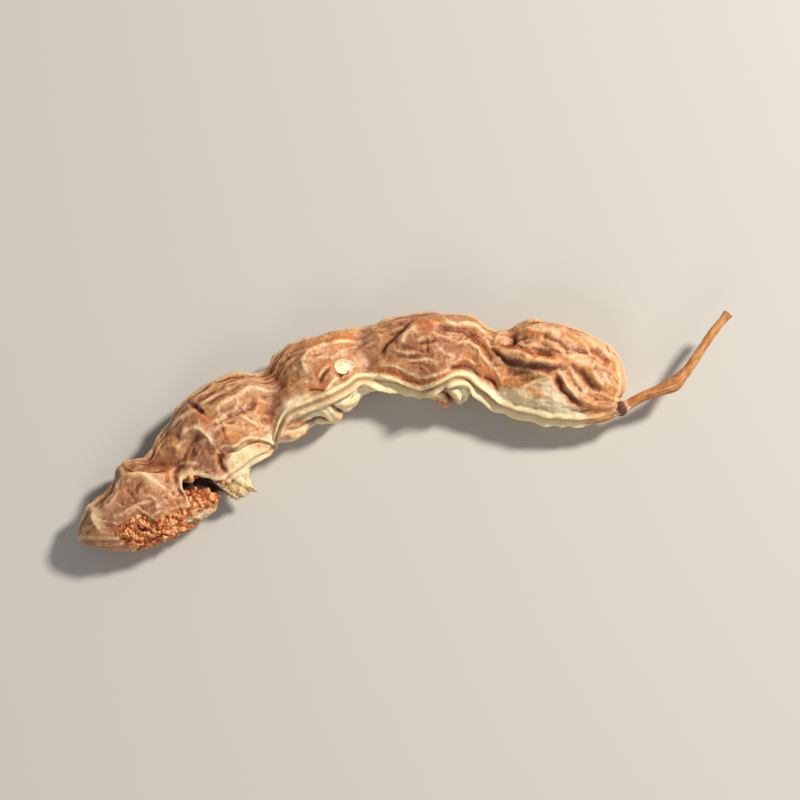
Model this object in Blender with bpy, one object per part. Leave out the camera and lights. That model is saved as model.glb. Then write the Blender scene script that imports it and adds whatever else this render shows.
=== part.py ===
"""A dried pod of the Japanese pagoda tree, lying on its flat side, with its stalk.

The pod is one piece: a string of five seed chambers ("beads") on an arched spine, a double seam
along its inner edge, a fine back seam along its outer edge, skin shrunk into folds and wrinkles,
one torn mouth that shows the pulp, and the stalk that it hung from.

Frame: metres, +Z up, X along the pod from its tip to its stalk, Y towards the outer side of the arch,
Z = 0 on the surface it lies on, X = Y = 0 in the middle of its plan.

Every size below is in millimetres. "Along" is the distance along the spine from its first point.
"Across" is the distance from the spine in plan, positive towards the outer side of the arch.
"""

import math

import bmesh
import bpy
import numpy as np
from mathutils import Vector, noise

MM = 0.001
POD_NAME = "pod"

# Mesh of the skin: rings are counted along the spine and columns round a section
RINGS = 108
COLUMNS = 52

# The spine in plan, from beyond the tip to beyond the stalk end
SPINE = ((-33.2, -8.3), (-24.9, -5.0), (-14.6, -0.6), (-3.1, 2.1), (9.9, 1.5), (22.1, -4.2), (29.2, -8.9))
TIP_ALONG = 0.8
BASE_ALONG = 65.2
TIP_CAP = 3.4
BASE_CAP = 2.6
POLE_CROWDING = 0.04
SECTION_POWER = 2.25
TANGENT_STEP = 0.5

# (along, across) of the two edges of the plan outline, tip to base
OUTER_EDGE = (
    (0.8, 0.0), (3.0, 0.7), (6.5, 1.2), (9.2, 2.7), (12.0, 2.0), (15.0, 3.1), (19.5, 4.3), (23.2, 4.2),
    (26.3, 3.0), (29.0, 4.0), (34.0, 4.2), (38.5, 3.9), (43.0, 4.4), (47.5, 4.1), (50.8, 3.1),
    (53.2, 4.6), (59.0, 5.3), (62.2, 4.3), (65.2, 2.5),
)
INNER_EDGE = (
    (0.8, -2.4), (3.2, -4.2), (5.8, -5.7), (9.0, -6.6), (13.5, -6.8), (16.6, -6.2), (19.0, -5.4),
    (21.5, -5.2), (24.3, -4.4), (26.2, -5.2), (29.4, -4.5), (32.2, -5.0), (34.9, -3.5), (37.4, -2.9),
    (40.2, -3.1), (42.8, -4.0), (46.4, -5.4), (48.7, -3.8), (51.5, -4.3), (57.0, -4.5), (61.0, -3.9),
    (65.2, -2.4),
)

# (along, height) of the skin over and under the spine's level: thick at a seed, thin at a waist
UPPER_HEIGHT = (
    (0.8, 1.6), (8.0, 3.0), (12.6, 2.1), (19.5, 3.6), (26.2, 2.1), (31.5, 3.3), (37.2, 1.8),
    (44.0, 3.5), (50.6, 2.0), (57.5, 3.7), (65.2, 2.5),
)
UNDER_HEIGHT = (
    (0.8, 1.4), (8.0, 3.2), (12.6, 2.0), (19.5, 2.8), (26.2, 1.9), (31.5, 3.2), (37.2, 1.7),
    (44.0, 3.3), (50.6, 1.9), (57.5, 3.15), (65.2, 2.2),
)
SPINE_LEVEL = 3.02

# The upper side is described as it looks from here: a skin point is "seen" where the line of sight
# through it meets the spine's level. Azimuth is 0 from the inner side and grows towards the stalk.
VIEW_AZIMUTH = math.radians(-14)
VIEW_ELEVATION = math.radians(75)

# The double seam: where it is seen on the upper side, how strongly it stands out there, and how far
# its two lips are from its middle
SEAM = (
    (0.8, -1.4), (5.0, -4.0), (9.0, -5.4), (13.0, -5.6), (17.0, -5.1), (21.0, -4.7), (24.2, -4.2),
    (25.2, -3.5), (26.5, -2.6), (29.0, -2.3), (32.0, -2.3), (34.1, -1.9), (35.8, -1.4), (37.6, -1.9),
    (39.6, -2.4), (41.2, -3.0), (43.4, -3.6), (45.0, -3.35), (46.6, -2.6), (48.2, -2.5), (50.3, -3.3),
    (52.2, -4.1), (56.0, -4.4), (60.0, -4.0), (63.0, -3.2), (65.2, -1.9),
)
SEAM_LIMITS = (math.radians(92), math.radians(171))
SEAM_HALVINGS = 14
SEAM_STRENGTH = ((0.8, 0.3), (12.0, 0.2), (20.0, 0.4), (25.5, 0.9), (38.0, 1.0), (60.0, 1.0), (65.2, 0.5))
LIP_OFFSET = ((0.8, 0.42), (36.0, 0.42), (38.4, 0.66), (41.6, 0.48), (65.2, 0.46))
SEAM_COLUMN_ANGLE = math.radians(135)
CROWDED_ANGLE = math.radians(105)
COLUMN_CROWDING = 0.42
LIP_WIDTH = 0.3
UPPER_LIP_RISE = 0.45
LOWER_LIP_RISE = 0.85
SEAM_SWELL_WIDTH = 1.1
SEAM_SWELL_RISE = 0.3

# The back seam, a single fine ridge just above the outer edge
BACK_SEAM_ANGLE = math.radians(12)
BACK_SEAM_WIDTH = 0.4
BACK_SEAM_RISE = 0.28

# Where the upper and the lower relief begin, by the sine of the section angle, and the share of its full
# thickness at which the pod's round ends have their whole relief
RELIEF_FADE = (-0.1, 0.3)
END_RELIEF = 0.5

# Ridges (rise above zero) and creases (below zero) of the shrunken skin: width, rise, (along, across) path
PATH_STEPS = 4
LINE_FADE = (-0.1, 0.22)
CREST_ROUNDING = 0.3
TENT_REACH = 1.7
UPPER_LINES = (
    # Bead 1
    (0.40, 0.35, ((4.0, 0.9), (3.7, 0.1), (3.4, -0.9), (3.5, -1.7))),
    (0.45, 0.40, ((4.9, 0.7), (6.4, 0.7), (7.4, 1.1), (8.6, 1.6), (9.2, 2.5))),
    (0.45, 0.40, ((9.1, 1.5), (10.2, 0.9), (10.8, -0.5), (11.4, -2.0))),
    (0.90, -0.55, ((10.6, 2.3), (12.3, 1.0), (13.6, -0.3), (14.0, -1.4))),
    # Bead 2
    (0.35, 0.45, ((20.3, 1.7), (22.0, 2.0), (23.4, 1.8), (24.5, 2.0), (25.9, 1.2), (27.4, 0.4))),
    (0.35, 0.45, ((16.0, 1.2), (17.0, 1.6), (18.2, 1.1), (18.5, 0.0), (18.5, -1.6))),
    (0.35, 0.45, ((19.2, -2.1), (20.5, -2.6), (21.6, -2.4), (22.9, -3.3), (24.6, -4.3))),
    (0.30, 0.30, ((22.6, 0.2), (23.0, -1.0), (23.8, -2.2))),
    (0.30, -0.40, ((18.9, 4.0), (19.2, 3.1), (19.6, 2.2))),
    (0.35, -0.40, ((18.6, -2.5), (17.9, -3.3), (17.7, -4.7))),
    (1.10, -0.60, ((26.6, 3.6), (27.7, 1.6), (26.0, -0.8), (24.9, -3.2))),
    # Bead 3
    (0.40, 0.45, ((31.0, 0.6), (30.9, 2.1), (32.2, 3.0), (34.6, 3.1), (37.0, 2.7))),
    (0.30, 0.30, ((31.7, 0.0), (32.5, 0.5), (33.3, 1.0))),
    (0.35, 0.40, ((31.6, -2.0), (32.8, -1.1), (33.9, -0.6))),
    (0.50, 0.35, ((26.6, -1.3), (28.6, -1.5), (30.6, -1.3))),
    (1.20, -0.45, ((38.2, 4.2), (37.3, 2.2), (37.7, 0.2), (36.6, -1.6))),
    # Bead 4
    (0.35, 0.40, ((37.8, -0.4), (39.8, -0.7), (41.3, -1.6), (42.8, -2.4), (44.4, -2.3), (47.2, -0.9))),
    (0.35, 0.35, ((41.2, 1.4), (41.8, 2.3), (43.0, 3.1))),
    (0.40, 0.50, ((45.0, 3.4), (46.6, 3.3), (48.0, 3.3), (49.2, 2.6), (50.2, 1.6))),
    (0.35, -0.40, ((45.0, 2.9), (47.3, 2.8), (48.6, 2.1), (50.0, 0.9), (50.8, -0.4))),
    (0.30, 0.30, ((46.6, 1.2), (47.9, 1.5), (48.7, 1.2), (49.6, 0.2), (51.0, -1.0))),
    (0.30, -0.30, ((46.0, -1.5), (48.2, -1.2), (49.9, -2.2))),
    # Bead 5
    (0.35, 0.35, ((52.2, 1.1), (53.5, 1.4), (55.2, 1.1), (56.8, 1.3), (58.5, 1.8))),
    (0.35, 0.45, ((57.8, 0.9), (58.1, 0.2), (59.2, -0.7), (61.3, -1.9))),
    (0.40, -0.50, ((57.8, 0.1), (58.5, -1.1), (60.0, -1.9), (61.5, -2.4))),
    (0.30, 0.30, ((61.0, 1.8), (61.8, 1.0), (63.0, 0.4))),
    (0.45, -0.35, ((59.9, 1.9), (60.9, 0.7), (61.9, 0.1), (63.0, -0.2))),
    (0.30, 0.30, ((58.8, 2.2), (60.3, 2.4), (61.4, 2.2))),
    (0.40, 0.40, ((59.2, 4.9), (61.2, 4.3), (63.1, 3.1), (64.2, 1.4), (64.4, -0.6), (63.6, -2.0))),
    (0.45, -0.30, ((60.2, 4.2), (61.4, 3.7), (62.6, 2.9))),
    (0.40, 0.35, ((52.8, -2.8), (54.4, -2.4), (55.3, -1.5), (56.4, -0.8), (57.5, -0.1))),
    (0.35, -0.35, ((50.2, -2.1), (51.2, -2.3), (52.3, -3.4))),
    (0.40, 0.30, ((53.2, 4.0), (54.6, 4.3), (57.0, 4.5))),
)

# The same for the inner side, over which the skin hangs in pleats below the seam, with one loose flap
PLEAT_FADE = (-0.6, -0.2)
PLEATS = (
    (0.35, 0.35, ((10.4, -5.8), (12.6, -6.4), (14.8, -7.0))),
    (0.35, -0.40, ((28.3, -4.0), (30.0, -4.2), (31.3, -4.7))),
    (0.30, 0.35, ((30.7, -3.0), (31.1, -3.8), (31.7, -5.0))),
    (0.30, 0.30, ((31.5, -3.1), (31.9, -3.8), (32.5, -4.9))),
    (0.30, -0.35, ((32.2, -3.2), (32.7, -4.1), (33.3, -4.7))),
    (0.35, 0.40, ((32.9, -3.4), (34.2, -3.5), (35.6, -3.0))),
    (0.40, -0.70, ((45.7, -3.5), (45.5, -4.2), (46.3, -4.7), (47.1, -5.6))),
    (0.45, 0.60, ((46.5, -3.6), (47.0, -4.3), (47.6, -5.2))),
    (0.40, 0.65, ((48.4, -3.2), (48.1, -4.2), (47.8, -5.3))),
)

# Folds, where skin has slid over itself: lip rise, lip reach, drop depth, (along, across) path.
# The lip stands on the left of the path and the drop is on its right, with a step between them.
FOLD_STEP = 0.7
FOLD_FADE = 0.3
DROP_REACH = 0.5
UPPER_FOLDS = (
    (0.40, 1.4, 0.30, ((13.0, -0.8), (10.9, 0.5), (9.9, 1.5), (9.0, 2.9))),
    (0.50, 1.6, 0.40, ((43.2, 4.1), (42.0, 3.2), (40.4, 2.0), (39.6, 1.3), (38.9, 0.2))),
    (0.45, 1.6, 0.35, ((50.0, 2.2), (51.2, 0.9), (52.6, 0.35), (54.6, 0.3), (56.0, 0.6), (58.2, 1.1))),
)

# Dents (depth below zero) and swellings of the upper skin: (along, across), reach along, reach across, rise
UPPER_DENTS = (
    (8.6, -0.9, 2.6, 1.6, -0.30),
    (16.2, -0.3, 1.7, 1.5, -0.35),
    (21.0, 0.3, 2.0, 1.4, -0.40),
    (21.6, 3.2, 2.2, 0.7, -0.25),
    (28.8, 0.8, 1.8, 1.4, -0.30),
    (34.4, 1.8, 1.6, 0.9, -0.35),
    (43.4, 0.3, 3.0, 1.8, -0.65),
    (43.9, 3.3, 1.0, 0.6, 0.35),
    (53.8, -0.9, 1.7, 0.8, -0.45),
    (52.3, 2.8, 0.5, 1.0, -0.70),
    (55.7, 2.4, 0.8, 0.6, -0.30),
    (59.8, 3.2, 1.5, 0.8, -0.25),
    (60.8, -0.6, 1.3, 0.6, -0.25),
    (56.5, -2.9, 2.6, 0.8, 0.20),
)

# The hidden side is shrunken the same way
UNDER_LINES = (
    (0.40, 0.35, ((4.2, 0.6), (6.0, -0.8), (8.4, -1.2), (11.0, -0.4))),
    (1.00, -0.55, ((12.9, 3.0), (12.4, 0.4), (13.0, -2.6))),
    (0.40, 0.45, ((14.4, 1.8), (16.8, 2.6), (19.8, 2.2), (22.8, 2.6), (25.0, 1.8))),
    (0.40, -0.40, ((15.2, -1.4), (18.0, -0.6), (20.6, -1.2), (23.6, -0.4))),
    (0.35, 0.35, ((19.2, 1.8), (19.8, 0.2), (19.4, -1.6), (20.2, -3.0))),
    (1.05, -0.60, ((26.4, 3.2), (26.0, 0.2), (26.6, -3.0))),
    (0.45, 0.45, ((28.2, -1.6), (30.6, -0.6), (33.2, -1.0), (35.6, -0.2))),
    (0.40, -0.35, ((29.0, 1.6), (31.4, 2.4), (34.0, 1.8), (36.0, 2.2))),
    (1.05, -0.65, ((37.3, 3.6), (37.5, 0.4), (37.0, -2.4))),
    (0.45, 0.50, ((39.0, 1.0), (41.2, 2.2), (44.2, 2.4), (47.2, 2.0), (49.4, 0.8))),
    (0.40, 0.40, ((39.4, -1.4), (42.0, -2.4), (45.2, -2.8), (48.2, -1.8))),
    (0.35, -0.40, ((42.4, 1.2), (44.4, 0.0), (46.6, 0.4))),
    (0.95, -0.60, ((50.4, 3.0), (50.8, 0.2), (50.4, -3.2))),
    (0.45, -0.50, ((52.0, 0.4), (54.6, -0.6), (57.4, -0.2), (60.0, -1.0))),
    (0.40, 0.45, ((52.8, 2.4), (55.8, 1.8), (58.8, 2.6), (61.8, 1.8))),
    (0.35, 0.35, ((55.0, -2.8), (57.6, -2.2), (60.4, -2.8), (62.6, -1.8))),
)

# The torn side: the edge of the skin over it, as it is seen, how far below the skin the pulp lies, and
# the hollows in the pulp: (along, across), reach along, reach across, depth
TORN_EDGE = (
    (4.2, -2.1), (6.5, -2.2), (8.1, -2.6), (8.6, -3.6), (9.6, -4.3), (11.0, -4.6), (12.1, -5.0),
    (12.7, -3.3), (13.5, -2.2), (14.3, -2.4), (15.3, -3.4), (16.2, -4.5), (17.4, -5.2),
)
TORN_SUNK = 0.35
TORN_HOLLOWS = (
    (5.6, -3.0, 0.6, 0.4, 0.4),
    (7.2, -4.3, 0.8, 0.5, 0.5),
    (13.3, -3.3, 0.8, 0.7, 1.1),
    (14.9, -4.1, 0.9, 0.7, 1.1),
    (15.6, -6.0, 0.6, 1.6, 1.0),
)
TORN_FLOOR = (1.3, 2.3)
TORN_FADE = 1.0
TORN_WALL = 1.1
TORN_LIP_SETBACK = 0.3
TORN_LIP_WIDTH = 0.6
TORN_LIP_RISE = 0.3
DEEPEST_SHARE = 0.6

# (along, reach outwards) of the torn flaps that hang out at the inner edge beside the tear
FLAPS = ((15.4, 0.0), (16.2, 1.5), (17.3, 2.1), (18.4, 1.9), (19.3, 1.1), (20.6, 0.0))
FLAP_WIDTH = 0.5

# Wrinkles too small to draw one by one
WRINKLE_LENGTH = 4.2
WRINKLE_PITCH = 1.9
WRINKLE_RISE = 0.30
WRINKLE_SEED = (7.3, 2.1, 4.7)
SWAY_LENGTH = 9.0
SWAY = 0.9
GIRTH_RADIUS = 4.0
CREST_SLOPE = 2.2
FINE_PITCH = 2.1
COARSE_SHARE = 0.65
FINE_SHARE = 0.35
SEAM_CALM = 0.7

# Steps along and round the skin over which its normal is measured
NORMAL_STEP = 0.05
NORMAL_TURN = 0.01

# (x, y, level above the ground, radius) of the stalk, from inside the pod to its snapped end
STALK = (
    (21.0, -7.9, 3.2, 0.78), (23.6, -9.1, 3.35, 0.76), (25.6, -9.5, 3.5, 0.62), (26.7, -9.35, 3.6, 0.58),
    (27.4, -9.2, 3.65, 0.82), (28.2, -9.0, 3.7, 0.56), (29.9, -8.55, 3.9, 0.52), (32.0, -8.35, 4.05, 0.60),
    (33.7, -8.0, 4.2, 0.74), (34.9, -7.3, 4.3, 0.56), (36.8, -5.7, 4.5, 0.48), (39.1, -3.65, 4.75, 0.46),
    (40.7, -2.45, 4.85, 0.46), (41.3, -2.0, 4.9, 0.56),
)
STALK_SIDES = 2
STALK_STEPS = 3
CAP_WELD = 0.01

SMOOTH_SHADING_ANGLE = math.radians(75)
SKIN_COLOUR = (0.48, 0.22, 0.11, 1.0)
SKIN_ROUGHNESS = 0.55


def smooth(points, at):
    """The value at each place in at, on the smooth curve through (place, value) points."""
    places, values = np.array(points, float).T
    slopes = np.gradient(values, places)
    left = np.clip(np.searchsorted(places, at) - 1, 0, len(places) - 2)
    gap = places[left + 1] - places[left]
    t = np.clip((at - places[left]) / gap, 0.0, 1.0)
    rest = 1.0 - t
    ends = values[left] * (1 + 2 * t) * rest**2 + values[left + 1] * (3 - 2 * t) * t**2
    return ends + gap * (slopes[left] * t * rest**2 - slopes[left + 1] * rest * t**2)


def linear(points, at):
    """The value at each place in at, on straight lines through (place, value) points."""
    return np.interp(at, *np.transpose(points))


def ramp(value, low, high):
    """0 below low, 1 above high, and a smooth rise between."""
    t = np.clip((value - low) / (high - low), 0.0, 1.0)
    return t * t * (3 - 2 * t)


def smooth_path(points, steps):
    """A polyline with that many steps between each two points, through all of them."""
    points = np.array(points, float)
    knots = np.concatenate([[0.0], np.cumsum(np.linalg.norm(np.diff(points, axis=0), axis=1))])
    count = len(points) - 1
    at = np.interp(np.linspace(0, count, steps * count + 1), np.arange(count + 1), knots)
    return np.stack([smooth(list(zip(knots, column)), at) for column in points.T], axis=1)


def spine_frame(along):
    """The spine's point in plan and its unit normal towards the outer side, at each place along it."""
    corners = np.array(SPINE)
    knots = np.concatenate([[0.0], np.cumsum(np.linalg.norm(np.diff(corners, axis=0), axis=1))])
    x_points = list(zip(knots, corners[:, 0]))
    y_points = list(zip(knots, corners[:, 1]))
    ahead, behind = along + TANGENT_STEP, along - TANGENT_STEP
    tangent = np.stack([
        smooth(x_points, ahead) - smooth(x_points, behind),
        smooth(y_points, ahead) - smooth(y_points, behind),
    ], axis=1)
    tangent /= np.linalg.norm(tangent, axis=1)[:, None]
    point = np.stack([smooth(x_points, along), smooth(y_points, along)], axis=1)
    return point, np.stack([-tangent[:, 1], tangent[:, 0]], axis=1)


def cap(along):
    """1 over the pod's length, falling to 0 at its two ends as a round end does."""
    from_tip = np.clip((along - TIP_ALONG) / TIP_CAP, 0.0, 1.0)
    from_base = np.clip((BASE_ALONG - along) / BASE_CAP, 0.0, 1.0)
    return np.sqrt(1 - (1 - from_tip) ** 2) * np.sqrt(1 - (1 - from_base) ** 2)


def seen(along, across, level):
    """Where a point of the pod is seen, along and across the spine, from the view above."""
    _, normal = spine_frame(along)
    tangent = np.column_stack([normal[:, 1], -normal[:, 0]])
    away = np.array([-math.sin(VIEW_AZIMUTH), math.cos(VIEW_AZIMUTH)])
    lean = (level - SPINE_LEVEL) / math.tan(VIEW_ELEVATION)
    return along + lean * (tangent @ away), across + lean * (normal @ away)


def plain_section(along, turned, size):
    """Across, level and the speed round the section of the plain skin, a rounded oval, at a true angle."""
    outer = smooth(OUTER_EDGE, along)
    inner = smooth(INNER_EDGE, along)
    half = (outer - inner) / 2 * size
    cosine, sine = np.cos(turned), np.sin(turned)
    height = np.where(sine > 0, smooth(UPPER_HEIGHT, along), smooth(UNDER_HEIGHT, along)) * size
    across = (outer + inner) / 2 + half * np.sign(cosine) * np.abs(cosine) ** (2 / SECTION_POWER)
    level = SPINE_LEVEL + height * np.sign(sine) * np.abs(sine) ** (2 / SECTION_POWER)
    return across, level, np.hypot(half * sine, height * cosine)


def seam_turn(along):
    """The true angle round the section at which the seam is seen where SEAM says, found by halving."""
    places, rows = np.unique(along, return_inverse=True)
    low = np.full(len(places), SEAM_LIMITS[0])
    high = np.full(len(places), SEAM_LIMITS[1])
    for _ in range(SEAM_HALVINGS):
        middle = (low + high) / 2
        across, level, _ = plain_section(places, middle, 1.0)
        at, over = seen(places, across, level)
        beyond = over < smooth(SEAM, at)
        high = np.where(beyond, middle, high)
        low = np.where(beyond, low, middle)
    return ((low + high) / 2)[rows]


def section(along, angle):
    """Across, level and other facts of the plain skin at an angle round the section.

    The angle is 0 at the outer edge, a quarter turn on top and a half turn at the inner edge. On the
    upper side it is stretched so that SEAM_COLUMN_ANGLE is always the seam.
    """
    seam_angle = seam_turn(along)
    before = angle * seam_angle / SEAM_COLUMN_ANGLE
    stretch = (math.pi - seam_angle) / (math.pi - SEAM_COLUMN_ANGLE)
    after = seam_angle + (angle - SEAM_COLUMN_ANGLE) * stretch
    turned = np.where(angle < SEAM_COLUMN_ANGLE, before, np.where(angle < math.pi, after, angle))
    across, level, speed = plain_section(along, turned, cap(along))
    return across, level, turned, seam_angle, speed


def place(along, across, level):
    """Points in millimetres, before the plan is centred, from places along and across the spine."""
    point, normal = spine_frame(along)
    plan = point + normal * across[:, None]
    return np.column_stack([plan, level])


def distance_to(path, along, across):
    """Distance of each place to a path in plan, the side it is on, and how far along the path that is."""
    nearest = np.full(len(along), 1e9)
    side = np.zeros(len(along))
    share = np.zeros(len(along))
    count = len(path) - 1
    for i in range(count):
        start, run = path[i], path[i + 1] - path[i]
        offset = np.column_stack([along - start[0], across - start[1]])
        t = np.clip(offset @ run / (run @ run), 0.0, 1.0)
        gap = np.hypot(*(offset - t[:, None] * run).T)
        closer = gap < nearest
        nearest = np.where(closer, gap, nearest)
        side = np.where(closer, np.sign(run[0] * offset[:, 1] - run[1] * offset[:, 0]), side)
        share = np.where(closer, (i + t) / count, share)
    return nearest, side, share


def drawn_lines(lines, along, across):
    """The rise of the ridges and creases drawn on one side of the skin, each of which fades out at its ends.

    A ridge holds the skin up like a tent pole, so the skin sinks away from it in a hollow curve. Where
    ridges meet, the highest counts most.
    """
    ridges = np.zeros(len(along))
    creases = np.zeros(len(along))
    for width, height, points in lines:
        gap, _, share = distance_to(smooth_path(points, PATH_STEPS), along, across)
        fade = ramp(share, *LINE_FADE) * ramp(1 - share, *LINE_FADE)
        if height > 0:
            tent = np.exp((CREST_ROUNDING - np.hypot(gap, CREST_ROUNDING)) / (TENT_REACH * width))
            ridges += (height * fade * tent) ** 3
        else:
            creases += height * fade * np.exp(-((gap / width) ** 2))
    return np.cbrt(ridges) + creases


def drawn_folds(folds, along, across):
    """The rise of the folds: a lip that stands up slowly and drops off sharply."""
    rise = np.zeros(len(along))
    for lip, reach, drop, points in folds:
        gap, side, share = distance_to(smooth_path(points, PATH_STEPS), along, across)
        fade = ramp(share, 0.0, FOLD_FADE) * ramp(1 - share, 0.0, FOLD_FADE)
        on_lip = lip * np.exp(-((gap / reach) ** 2))
        in_drop = -drop * np.exp(-((gap / (DROP_REACH * reach)) ** 2))
        signed = gap * side
        rise += fade * (in_drop + (on_lip - in_drop) * ramp(signed, -FOLD_STEP, FOLD_STEP))
    return rise


def dented(dents, along, across):
    """The rise of round dents and swellings drawn on the skin."""
    rise = np.zeros(len(along))
    for at, over, reach_along, reach_across, height in dents:
        from_middle = ((along - at) / reach_along) ** 2 + ((across - over) / reach_across) ** 2
        rise += height * np.exp(-from_middle)
    return rise


def torn(along, across, level):
    """How torn the skin is, 0 to 1, how far the pulp is sunk, and the rise of the lip over the tear."""
    at, over = seen(along, across, level)
    edge = smooth_path(TORN_EDGE, PATH_STEPS)
    inside = np.interp(at, edge[:, 0], edge[:, 1]) - over
    ends = ramp(at - TORN_EDGE[0][0], 0.0, TORN_FADE) * ramp(TORN_EDGE[-1][0] - at, 0.0, TORN_FADE)
    opened = ends * ramp(inside, 0.0, TORN_WALL) * ramp(level, *TORN_FLOOR)
    lip = ends * TORN_LIP_RISE * np.exp(-(((inside + TORN_LIP_SETBACK) / TORN_LIP_WIDTH) ** 2))
    sunk = opened * (TORN_SUNK + dented(TORN_HOLLOWS, at, over))
    return opened, sunk, np.where(level > SPINE_LEVEL, lip * (1 - opened), 0.0)


def wrinkles(along, angle):
    """Shrinkage: crests that wander lengthwise, from noise wrapped round the pod so that it has no join."""
    round_pod = GIRTH_RADIUS / WRINKLE_PITCH
    places = np.column_stack([
        along / WRINKLE_LENGTH,
        round_pod * np.cos(angle),
        round_pod * np.sin(angle),
    ])
    offset = Vector(WRINKLE_SEED)
    rise = np.zeros(len(along))
    for i, row in enumerate(places):
        at = Vector(row) + offset
        sway = noise.noise(at * (WRINKLE_LENGTH / SWAY_LENGTH)) * SWAY
        at.y += sway
        at.z -= sway
        coarse = 1 - CREST_SLOPE * abs(noise.noise(at))
        fine = 1 - CREST_SLOPE * abs(noise.noise(at * FINE_PITCH + offset))
        rise[i] = COARSE_SHARE * coarse + FINE_SHARE * (fine - 1)
    return rise * WRINKLE_RISE


def relief(along, across, level, turned, seam_angle, speed):
    """How far the shrunken skin stands out from the plain one, in millimetres."""
    sine = np.sin(turned)
    at, over = seen(along, across, level)
    drawn = drawn_lines(UPPER_LINES, at, over) + drawn_folds(UPPER_FOLDS, at, over)
    rise = (drawn + dented(UPPER_DENTS, at, over)) * ramp(sine, *RELIEF_FADE)
    rise += drawn_lines(PLEATS, at, over) * ramp(sine, *PLEAT_FADE)
    rise += drawn_lines(UNDER_LINES, along, across) * ramp(-sine, *RELIEF_FADE)

    from_seam = (turned - seam_angle) * speed
    offset = linear(LIP_OFFSET, along)
    upper_lip = np.exp(-(((from_seam + offset) / LIP_WIDTH) ** 2))
    lower_lip = np.exp(-(((from_seam - offset) / LIP_WIDTH) ** 2))
    near_seam = np.exp(-((from_seam / SEAM_SWELL_WIDTH) ** 2))
    seam_rise = UPPER_LIP_RISE * upper_lip + LOWER_LIP_RISE * lower_lip + SEAM_SWELL_RISE * near_seam
    rise += linear(SEAM_STRENGTH, along) * seam_rise

    from_back = (np.remainder(turned - BACK_SEAM_ANGLE + math.pi, 2 * math.pi) - math.pi) * speed
    rise += BACK_SEAM_RISE * np.exp(-((from_back / BACK_SEAM_WIDTH) ** 2))

    rise += wrinkles(along, turned) * (1 - SEAM_CALM * near_seam)
    return rise * ramp(cap(along), 0.0, END_RELIEF)


def skin_points(along, angle):
    """Points of the shrunken skin, in millimetres: the plain skin moved along its own normal.

    The pulp in the tear is sunk towards the middle of its section, so that the walls can't cross.
    """
    across, level, turned, seam_angle, speed = section(along, angle)
    opened, sunk, lip = torn(along, across, level)
    base = place(along, across, level)
    ahead = section(along + NORMAL_STEP, angle)
    turned_on = section(along, angle + NORMAL_TURN)
    lengthwise = place(along + NORMAL_STEP, ahead[0], ahead[1]) - base
    crosswise = place(along, turned_on[0], turned_on[1]) - base
    normal = np.cross(crosswise, lengthwise)
    normal /= np.maximum(np.linalg.norm(normal, axis=1), 1e-12)[:, None]
    rise = relief(along, across, level, turned, seam_angle, speed) * (1 - opened) + lip
    hang = linear(FLAPS, along) * np.exp(-(((turned - math.pi) * speed / FLAP_WIDTH) ** 2))

    middle = (smooth(OUTER_EDGE, along) + smooth(INNER_EDGE, along)) / 2
    inward = np.column_stack([middle - across, SPINE_LEVEL - level])
    depth = np.minimum(sunk / np.maximum(np.linalg.norm(inward, axis=1), 1e-12), DEEPEST_SHARE)
    floor = place(along, across + depth * inward[:, 0], level + depth * inward[:, 1])
    return floor + normal * (rise + hang)[:, None]


def ring_places(share):
    """Place along the spine for a share of the way from pole to pole: even, but crowded at the round ends."""
    crowd = POLE_CROWDING
    start = share**2 / (2 * crowd)
    finish = 1 - crowd - (1 - share) ** 2 / (2 * crowd)
    even = share - crowd / 2
    shape = np.where(share < crowd, start, np.where(share > 1 - crowd, finish, even)) / (1 - crowd)
    return TIP_ALONG + (BASE_ALONG - TIP_ALONG) * shape


def make_skin(collection):
    """The pod's body: a sphere whose rings of latitude become the sections along the spine."""
    shape = bmesh.new()
    bmesh.ops.create_uvsphere(shape, u_segments=COLUMNS, v_segments=RINGS, radius=1.0)
    ball = np.array([v.co for v in shape.verts])
    ring = np.round(np.arccos(np.clip(ball[:, 2], -1, 1)) / math.pi * RINGS)
    column = np.round(np.arctan2(ball[:, 1], ball[:, 0]) / (2 * math.pi) * COLUMNS) % COLUMNS
    turn = column / COLUMNS * 2 * math.pi
    angle = np.remainder(turn - COLUMN_CROWDING * np.sin(turn - CROWDED_ANGLE), 2 * math.pi)
    angle[(ring == 0) | (ring == RINGS)] = 0.0
    points = skin_points(ring_places(ring / RINGS), angle)
    for vert, point in zip(shape.verts, points):
        vert.co = point * MM
    bmesh.ops.recalc_face_normals(shape, faces=shape.faces)
    mesh = bpy.data.meshes.new(POD_NAME)
    shape.to_mesh(mesh)
    shape.free()
    skin = bpy.data.objects.new(POD_NAME, mesh)
    collection.objects.link(skin)
    return skin


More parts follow.
